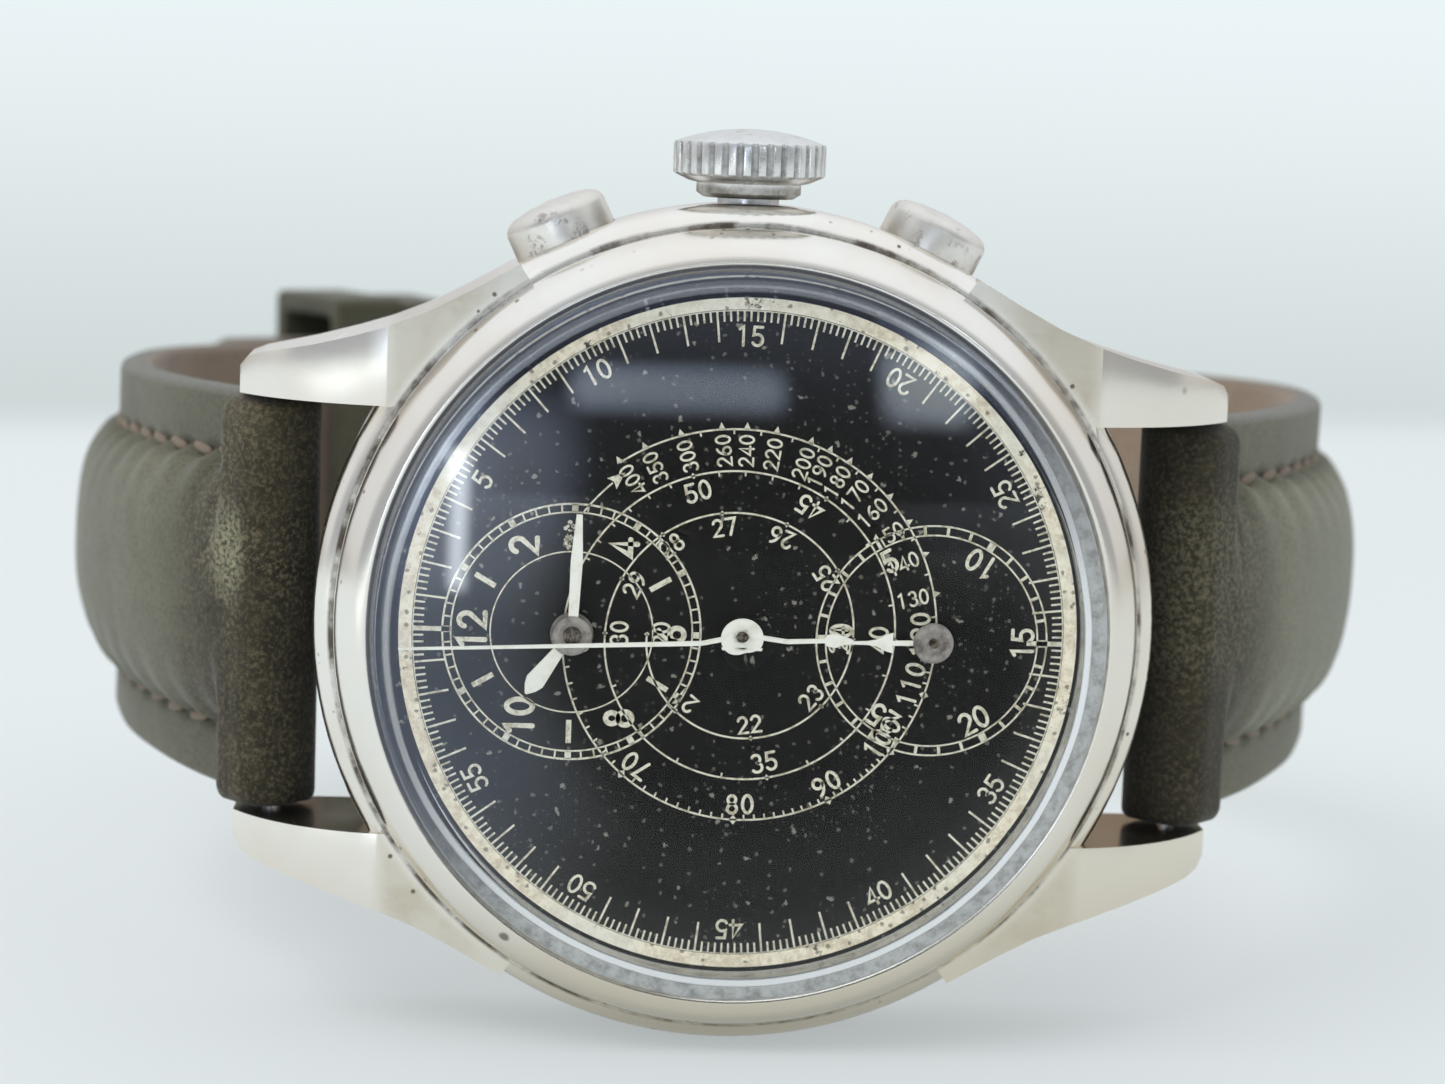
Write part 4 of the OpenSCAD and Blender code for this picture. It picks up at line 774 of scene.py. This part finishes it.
def normal(t):
    a, b = loop(t + 0.5), loop(t - 0.5)
    dx, dy = a[0] - b[0], a[1] - b[1]
    l = math.hypot(dx, dy)
    return (dy / l, -dx / l)


def step(v, a, b):
    x = min(1.0, max(0.0, (v - a) / (b - a)))
    return x * x * (3 - 2 * x)


def half_width(y):
    return 8.85 - 1.15 * min(1.0, max(0.0, (y + 2.4) / 54.4))


def th12(t):
    return 2.4 + 1.6 * (t - 108) / 121.75


def th6(t):
    return 1.9 if t > 75 else 1.9 + 2.1 * (75 - t) / 124.75


def off6(t):
    return (th12(max(t, 108)) / 2 + 1.25) * step(t, 70, 108)


class Strap:
    """one half of the strap: stations along its middle line, measured by arc length from the spring bar"""

    def __init__(self, name, t0, t1, thick, off, bar, body, holes=()):
        self.name, self.thick, self.off, self.body = name, thick, off, body
        sgn = 1 if t1 > t0 else -1
        n = 1400
        ts = [t0 + (t1 - t0) * i / n for i in range(n + 1)]
        pts = [self.point(t) for t in ts]
        acc = [0.0]
        for a, b in zip(pts, pts[1:]):
            acc.append(acc[-1] + math.hypot(b[0] - a[0], b[1] - a[1]))
        self.ts, self.acc, self.length = ts, acc, acc[-1]
        self.bar = bar
        self.sgn = sgn

    def point(self, t):
        p, n = loop(t), normal(t)
        o = self.off(t)
        return (p[0] + n[0] * o, p[1] + n[1] * o)

    def at(self, s):
        """position, outward normal and thickness at arc length s"""
        s = min(max(s, 0.0), self.length)
        lo, hi = 0, len(self.acc) - 1
        while hi - lo > 1:
            mid = (lo + hi) // 2
            if self.acc[mid] > s:
                hi = mid
            else:
                lo = mid
        f = (s - self.acc[lo]) / max(1e-9, self.acc[hi] - self.acc[lo])
        t = self.ts[lo] + (self.ts[hi] - self.ts[lo]) * f
        return self.point(t), normal(t), self.thick(t), t


PITCH = 2.35
R_WRAP = (1.15, 1.95)


def pucker(s, z, side, g, fade, w, seed):
    """small folds of the padding beside each stitch"""
    a = abs(z)
    edge = w - 2.95
    near = math.exp(-((a - edge + 0.75) / 0.55) ** 2)
    wob = math.sin(2 * math.pi * s / PITCH + 0.7 * math.sin(s * 0.9 + seed + side)) * 0.5 + 0.5
    return -(0.045 if seed == 11 else 0.085) * (0.5 + math.sin(0.61 * s + 1.7 * seed + side) ** 2) * near * wob * g * fade


def outer_height(S, s, z, th, w, seed, jitter):
    a = abs(z)
    side = 1 if z > 0 else -1
    g = step(s, *R_WRAP)
    fade = 1 - step(s, 42, 60)
    H = th / 2 + 0.12
    rec = 2.05 * fade + 0.22 * (1 - fade)
    hm = H - rec * g
    zb = w - 2.95 + 0.16 * math.cos(2 * math.pi * s / PITCH + jitter(s, side)) * g * fade
    if g < 1e-4:
        h = H
    elif a < zb:
        q = a / zb
        h = hm + (H - hm) * max(0.0, 1 - q ** 2.8) ** 0.62 + pucker(s, z, side, g, fade, w, seed)
    else:
        h = hm
    h -= 0.30 * g * (0.35 + 0.65 * fade) * math.exp(-((a - zb - 0.16) / 0.24) ** 2)
    r = 0.9 * (1 - g) + 0.35 * g
    e = w - a
    if e < r:
        h -= r - math.sqrt(max(0.0, r * r - (r - e) ** 2))
    h += 0.05 * math.sin(s * 0.55 + z * 0.35 + seed) * math.sin(z * 0.5 - s * 0.21 + seed) * g
    return h


def build_strap(S, seed, end_cut):
    rnd = random.Random(seed)
    ph = [rnd.uniform(-0.5, 0.5) for _ in range(400)]

    def jitter(s, side):
        k = s / PITCH + (100 if side > 0 else 200)
        i = int(k)
        f = k - i
        return ph[i] * (1 - f) + ph[i + 1] * f

    zs_unit = []
    fine = 46
    for i in range(-fine, fine + 1):
        u = i / fine
        zs_unit.append(math.copysign(abs(u) ** 0.86, u))
    stations = []
    for k in range(9, 0, -1):
        stations.append(-k / 9)
    s = 0.0
    while s < min(62.0, S.length - 1):
        stations.append(s)
        s += 0.23 if s < 40 else 0.35
    while s < S.length - 0.3:
        stations.append(s)
        s += 1.0
    stations.append(S.length)
    verts, faces, tone = [], [], []
    rings = []
    for s in stations:
        nose = s < 0
        ph_n = math.asin(min(1.0, -s)) if nose else 0.0
        p, n, th, t = S.at(max(s, 0.0))
        d = (n[1] * S.sgn, -n[0] * S.sgn)
        # direction of growing s
        q, _, _, _ = S.at(min(S.length, max(s, 0.0) + 0.3))
        l = math.hypot(q[0] - p[0], q[1] - p[1])
        if l > 1e-6:
            d = ((q[0] - p[0]) / l, (q[1] - p[1]) / l)
        w = half_width(p[1]) - 0.02
        if nose:
            w -= 0.35 * (1 - math.cos(ph_n)) * 1.0
        tip = 0.0
        outer, inner = [], []
        for u in zs_unit:
            z = u * w
            ho = outer_height(S, max(s, 0.0), z, th, w, seed, jitter)
            hi = -th / 2 - 0.04
            e = w - abs(z)
            if e < 0.4:
                hi += 0.4 - math.sqrt(max(0.0, 0.16 - (0.4 - e) ** 2))
            if nose:
                c = math.cos(ph_n)
                ho, hi = ho * c, hi * c
                back = -1.62 * math.sin(ph_n)
            else:
                back = 0.0
            if s >= S.length - 3.0 and end_cut:
                # rounded tongue end
                rest = S.length - s
                lim = w * math.sqrt(max(0.02, 1 - ((3.0 - rest) / 3.02) ** 2))
                z = max(-lim, min(lim, z))
            outer.append((p[0] + n[0] * ho + d[0] * back, p[1] + n[1] * ho + d[1] * back, z))
            inner.append((p[0] + n[0] * hi + d[0] * back, p[1] + n[1] * hi + d[1] * back, z))
        ring_v = outer + inner[::-1]
        rings.append(len(verts))
        sp = max(s, 0.0)
        g = step(sp, *R_WRAP)
        for idx, (x, y, z) in enumerate(ring_v):
            verts.append((x, y, z))
            a = abs(z)
            zb = w - 2.95
            centre = 1 - step(a, zb - 0.4, zb + 0.1)
            wear = (1 - g) + g * centre * (1 - step(sp, 1.6, 7.0)) * 0.95 + g * (1 - centre) * 0.12
            edge = step(a, w - 0.30, w - 0.08) * g
            tone.append((wear, edge, g * (1 - centre) if idx < len(outer) else 0.0))
    m = 2 * len(zs_unit)
    nz = len(zs_unit)
    lining_faces = []
    for a, b in zip(rings, rings[1:]):
        for i in range(m):
            j = (i + 1) % m
            faces.append((a + i, a + j, b + j, b + i))
    for base in (rings[0], rings[-1]):
        for i in range(nz - 1):
            faces.append((base + i, base + i + 1, base + m - 2 - i, base + m - 1 - i))
    ob = put(S.name, verts, faces, M["suede"], S.body, smooth=True, tone=tone)
    ob.data.materials.append(M["lining"])
    k = 0
    for r_i in range(len(rings) - 1):
        s = stations[r_i]
        for i in range(m):
            if nz <= i < m - 1 and s > 2.2:
                ob.data.polygons[k].material_index = 1
            k += 1
    bm = bmesh.new()
    bm.from_mesh(ob.data)
    bmesh.ops.remove_doubles(bm, verts=bm.verts, dist=1e-6)
    bmesh.ops.recalc_face_normals(bm, faces=bm.faces)
    bm.to_mesh(ob.data)
    bm.free()
    # stitches along both seams
    sv, sf = [], []

    def pill(c, ax, up, L, W, Hh):
        si = (ax[1] * up[2] - ax[2] * up[1], ax[2] * up[0] - ax[0] * up[2], ax[0] * up[1] - ax[1] * up[0])
        base = len(sv)
        nu, nv = 8, 10
        for i in range(nu + 1):
            th = math.pi * i / nu
            for j in range(nv):
                f = 2 * math.pi * j / nv
                e = (math.copysign(abs(math.cos(th)) ** 0.8, math.cos(th)) * L, math.sin(th) * math.cos(f) * W, math.sin(th) * math.sin(f) * Hh)
                sv.append(tuple(c[k] + ax[k] * e[0] + si[k] * e[1] + up[k] * e[2] for k in range(3)))
        for i in range(nu):
            for j in range(nv):
                jj = (j + 1) % nv
                sf.append((base + i * nv + j, base + i * nv + jj, base + (i + 1) * nv + jj, base + (i + 1) * nv + j))

    for side in (-1, 1):
        s = 3.4
        while s < S.length - 4:
            p, n, th, t = S.at(s)
            w = half_width(p[1])
            k = 0.10 * math.sin(9.7 * s + seed)
            zz = side * (w - 2.78 + 0.06 * k)
            h = outer_height(S, s, zz, th, w, seed, jitter) + 0.10
            q, _, _, _ = S.at(s + 0.3)
            l = math.hypot(q[0] - p[0], q[1] - p[1])
            d = ((q[0] - p[0]) / l, (q[1] - p[1]) / l, 0.0)
            a = 0.16 * side + 0.12 * k
            d = (d[0] * math.cos(a), d[1] * math.cos(a), math.sin(a))
            pill((p[0] + n[0] * h, p[1] + n[1] * h, zz), d, (n[0], n[1], 0.0), 0.80, 0.27, 0.22)
            s += PITCH
    put(S.name + "_stitches", sv, sf, M["thread"], S.body, smooth=True)
    return ob


S12 = Strap("strap_12_padded", 229.75, 108, th12, lambda t: 0.0, (-19.6, -2.4), "strap_12")
S6 = Strap("strap_6_padded", -49.75, 150, th6, off6, (19.6, -2.4), "strap_6")
pad12 = build_strap(S12, 11, False)
pad6 = build_strap(S6, 23, True)
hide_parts("strap_12_leather", "strap_12_lining")
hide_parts("strap_6_leather", "strap_6_lining")
# punched holes of the long half, drawn as dark discs on both faces: painted shade in place of open holes
hv, hf = [], []
for t in (88, 111, 118.5, 126, 133.5):
    p, n = loop(t), normal(t)
    for side in (1, -1):
        o = off6(t) + side * (th6(t) / 2 + (0.16 if side > 0 else 0.06))
        tx = (-n[1], n[0])
        base = len(hv)
        for rr in (0.42, 0.78):
            for k in range(20):
                f = 2 * math.pi * k / 20
                oo = o + (0.0 if rr > 0.5 else -0.1 * side)
                hv.append((p[0] + n[0] * oo + tx[0] * rr * math.cos(f), p[1] + n[1] * oo + tx[1] * rr * math.cos(f), rr * math.sin(f)))
        hf.append(tuple(range(base, base + 20)))
        for k in range(20):
            kk = (k + 1) % 20
            hf.append((base + k, base + kk, base + 20 + kk, base + 20 + k))
put("strap_6_holes", hv, hf, plain("hole_dark", (0.015, 0.012, 0.010), 0.9), "strap_6")

# ---------------------------------------------------------------- stage
floor_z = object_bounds()[0][2]


def sheet(name, corners, mat):
    me = bpy.data.meshes.new(name)
    me.from_pydata(corners, [], [tuple(range(len(corners)))])
    me.materials.append(mat)
    ob = bpy.data.objects.new(name, me)
    sc.collection.objects.link(ob)
    return ob


fl = Tree("floor")
pf = fl.principled((0.36, 0.38, 0.385), Roughness=0.7, **{"Specular IOR Level": 0.15})
pf.inputs["Emission Color"].default_value = (0.97, 1.03, 1.03, 1)
pf.inputs["Emission Strength"].default_value = 0.42
sf = fl.n("ShaderNodeSeparateXYZ")
fl.link(fl.obj(), sf.inputs[0])
# painted light: the floor glows, less towards its back edge, which lifts its cast shadow
edge_d = fl.math("SUBTRACT", fl.math("ADD", fl.math("MULTIPLY", sf.outputs[0], 0.2845), 0.2658), sf.outputs[1])
near = fl.math("ADD", fl.math("MULTIPLY", fl.smooth(edge_d, 0.0, 0.04), 0.12), 0.30)
fx, fy = sf.outputs[0], sf.outputs[1]
# painted reflection: a patch in front on the left glows for glossy rays only
painted_reflection_card = fl.math("MULTIPLY", fl.smooth(fx, -0.30, -0.24), fl.math("SUBTRACT", 1.0, fl.smooth(fx, -0.13, -0.08)))
painted_reflection_card = fl.math("MULTIPLY", painted_reflection_card, fl.math("SUBTRACT", 1.0, fl.smooth(fy, -0.10, -0.05)))
fl_path = fl.n("ShaderNodeLightPath")
painted_reflection_card = fl.math("MULTIPLY", painted_reflection_card, fl.math("MULTIPLY", fl_path.outputs["Is Glossy Ray"], 0.42))
fl.link(fl.math("ADD", near, painted_reflection_card), pf.inputs["Emission Strength"])
sheet("floor", [(-1.2, -1.2, floor_z), (1.2, -1.2, floor_z), (1.2, 0.3056, floor_z), (0.14, 0.3056, floor_z), (-0.11, 0.2345, floor_z), (-1.2, 0.2345, floor_z)], fl.mat)

world = bpy.data.worlds.new("studio")
sc.world = world
world.use_nodes = True
wt = world.node_tree
wt.nodes.clear()


class W(Tree):
    def __init__(self, tree):
        self.t = tree


w_ = W(wt)
out = w_.n("ShaderNodeOutputWorld")
gen = w_.n("ShaderNodeTexCoord").outputs["Generated"]
sp = w_.n("ShaderNodeSeparateXYZ")
w_.link(gen, sp.inputs[0])
X, Y, Z = sp.outputs
ny = w_.math("MAXIMUM", w_.math("MULTIPLY", Y, -1.0), 0.001)
U = w_.math("DIVIDE", X, ny)
V = w_.math("DIVIDE", Z, ny)
front = w_.smooth(w_.math("MULTIPLY", Y, -1.0), 0.05, 0.25)


sky = w_.ramp(w_.math("ADD", w_.math("MULTIPLY", Z, 0.5), 0.5), [(0.0, (0.52, 0.50, 0.47)), (0.49, (0.60, 0.58, 0.55)), (0.52, (0.86, 0.87, 0.88)), (0.75, (1.0, 1.04, 1.08)), (1.0, (1.18, 1.24, 1.30))])
# the dim camera side with a darker middle
side = w_.mix(w_.math("MULTIPLY", front, w_.math("SUBTRACT", 1.0, w_.smooth(V, 0.25, 1.6))), sky, (0.50, 0.52, 0.55))
au = w_.math("ABSOLUTE", w_.math("SUBTRACT", U, 0.04))
core = w_.math("MULTIPLY", w_.math("MULTIPLY", w_.math("SUBTRACT", 1.0, w_.smooth(au, 0.30, 0.55)), w_.math("MULTIPLY", w_.math("SUBTRACT", 1.0, w_.smooth(V, 0.16, 0.34)), w_.smooth(V, -0.55, -0.22))), front)
side = w_.mix(core, side, (0.10, 0.10, 0.10))
for rect, glow in WINDOWS:
    side = w_.mix(opening(w_, U, V, front, *rect), side, glow)
bg = w_.n("ShaderNodeBackground")
w_.link(side, bg.inputs["Color"])
bg.inputs["Strength"].default_value = 0.80
bg2 = w_.n("ShaderNodeBackground")
w_.link(w_.mix(w_.smooth(Z, -0.137, 0.050), (0.60, 0.66, 0.655), (0.84, 0.92, 0.94)), bg2.inputs["Color"])
lp = w_.n("ShaderNodeLightPath")
mx = w_.n("ShaderNodeMixShader")
w_.link(lp.outputs["Is Camera Ray"], mx.inputs[0])
w_.link(bg.outputs[0], mx.inputs[1])
w_.link(bg2.outputs[0], mx.inputs[2])
w_.link(mx.outputs[0], out.inputs["Surface"])


def area(name, pos, aim, size, power, color, glossy=True):
    la = bpy.data.lights.new(name, "AREA")
    la.shape = "RECTANGLE"
    la.size, la.size_y = size
    la.energy = power
    la.color = color
    ob = bpy.data.objects.new(name, la)
    ob.location = pos
    ob.rotation_euler = (Vector(aim) - Vector(pos)).to_track_quat("-Z", "Y").to_euler()
    ob.visible_glossy = glossy
    sc.collection.objects.link(ob)
    return ob


area("key", (-0.35, -0.25, 0.55), (0, 0, 0), (0.45, 0.35), 1.6, (1.0, 0.985, 0.96), False)

# ---------------------------------------------------------------- camera
cam_d = bpy.data.cameras.new("camera")
cam = bpy.data.objects.new("camera", cam_d)
sc.collection.objects.link(cam)
a, e, r = math.radians(3.96), math.radians(7.84), math.radians(2.1)
fw = Vector((math.sin(a) * math.cos(e), math.cos(a) * math.cos(e), -math.sin(e)))
right = fw.cross(Vector((0, 0, 1))).normalized()
up = right.cross(fw)
r2 = right * math.cos(r) + up * math.sin(r)
u2 = -right * math.sin(r) + up * math.cos(r)
mw = Matrix((r2, u2, -fw)).transposed().to_4x4()
mw.translation = Vector((-0.01004, -0.1415, 0.02224))
cam.matrix_world = mw
cam_d.sensor_width = 36
cam_d.sensor_fit = "HORIZONTAL"
cam_d.lens = 81.08
cam_d.clip_start = 0.005
cam_d.clip_end = 20
focus = bpy.data.objects.new("focus_point", None)
focus.location = (-0.002, -0.0095, 0.002)
sc.collection.objects.link(focus)
cam_d.dof.use_dof = True
cam_d.dof.focus_object = focus
cam_d.dof.aperture_fstop = 45.0
sc.camera = cam
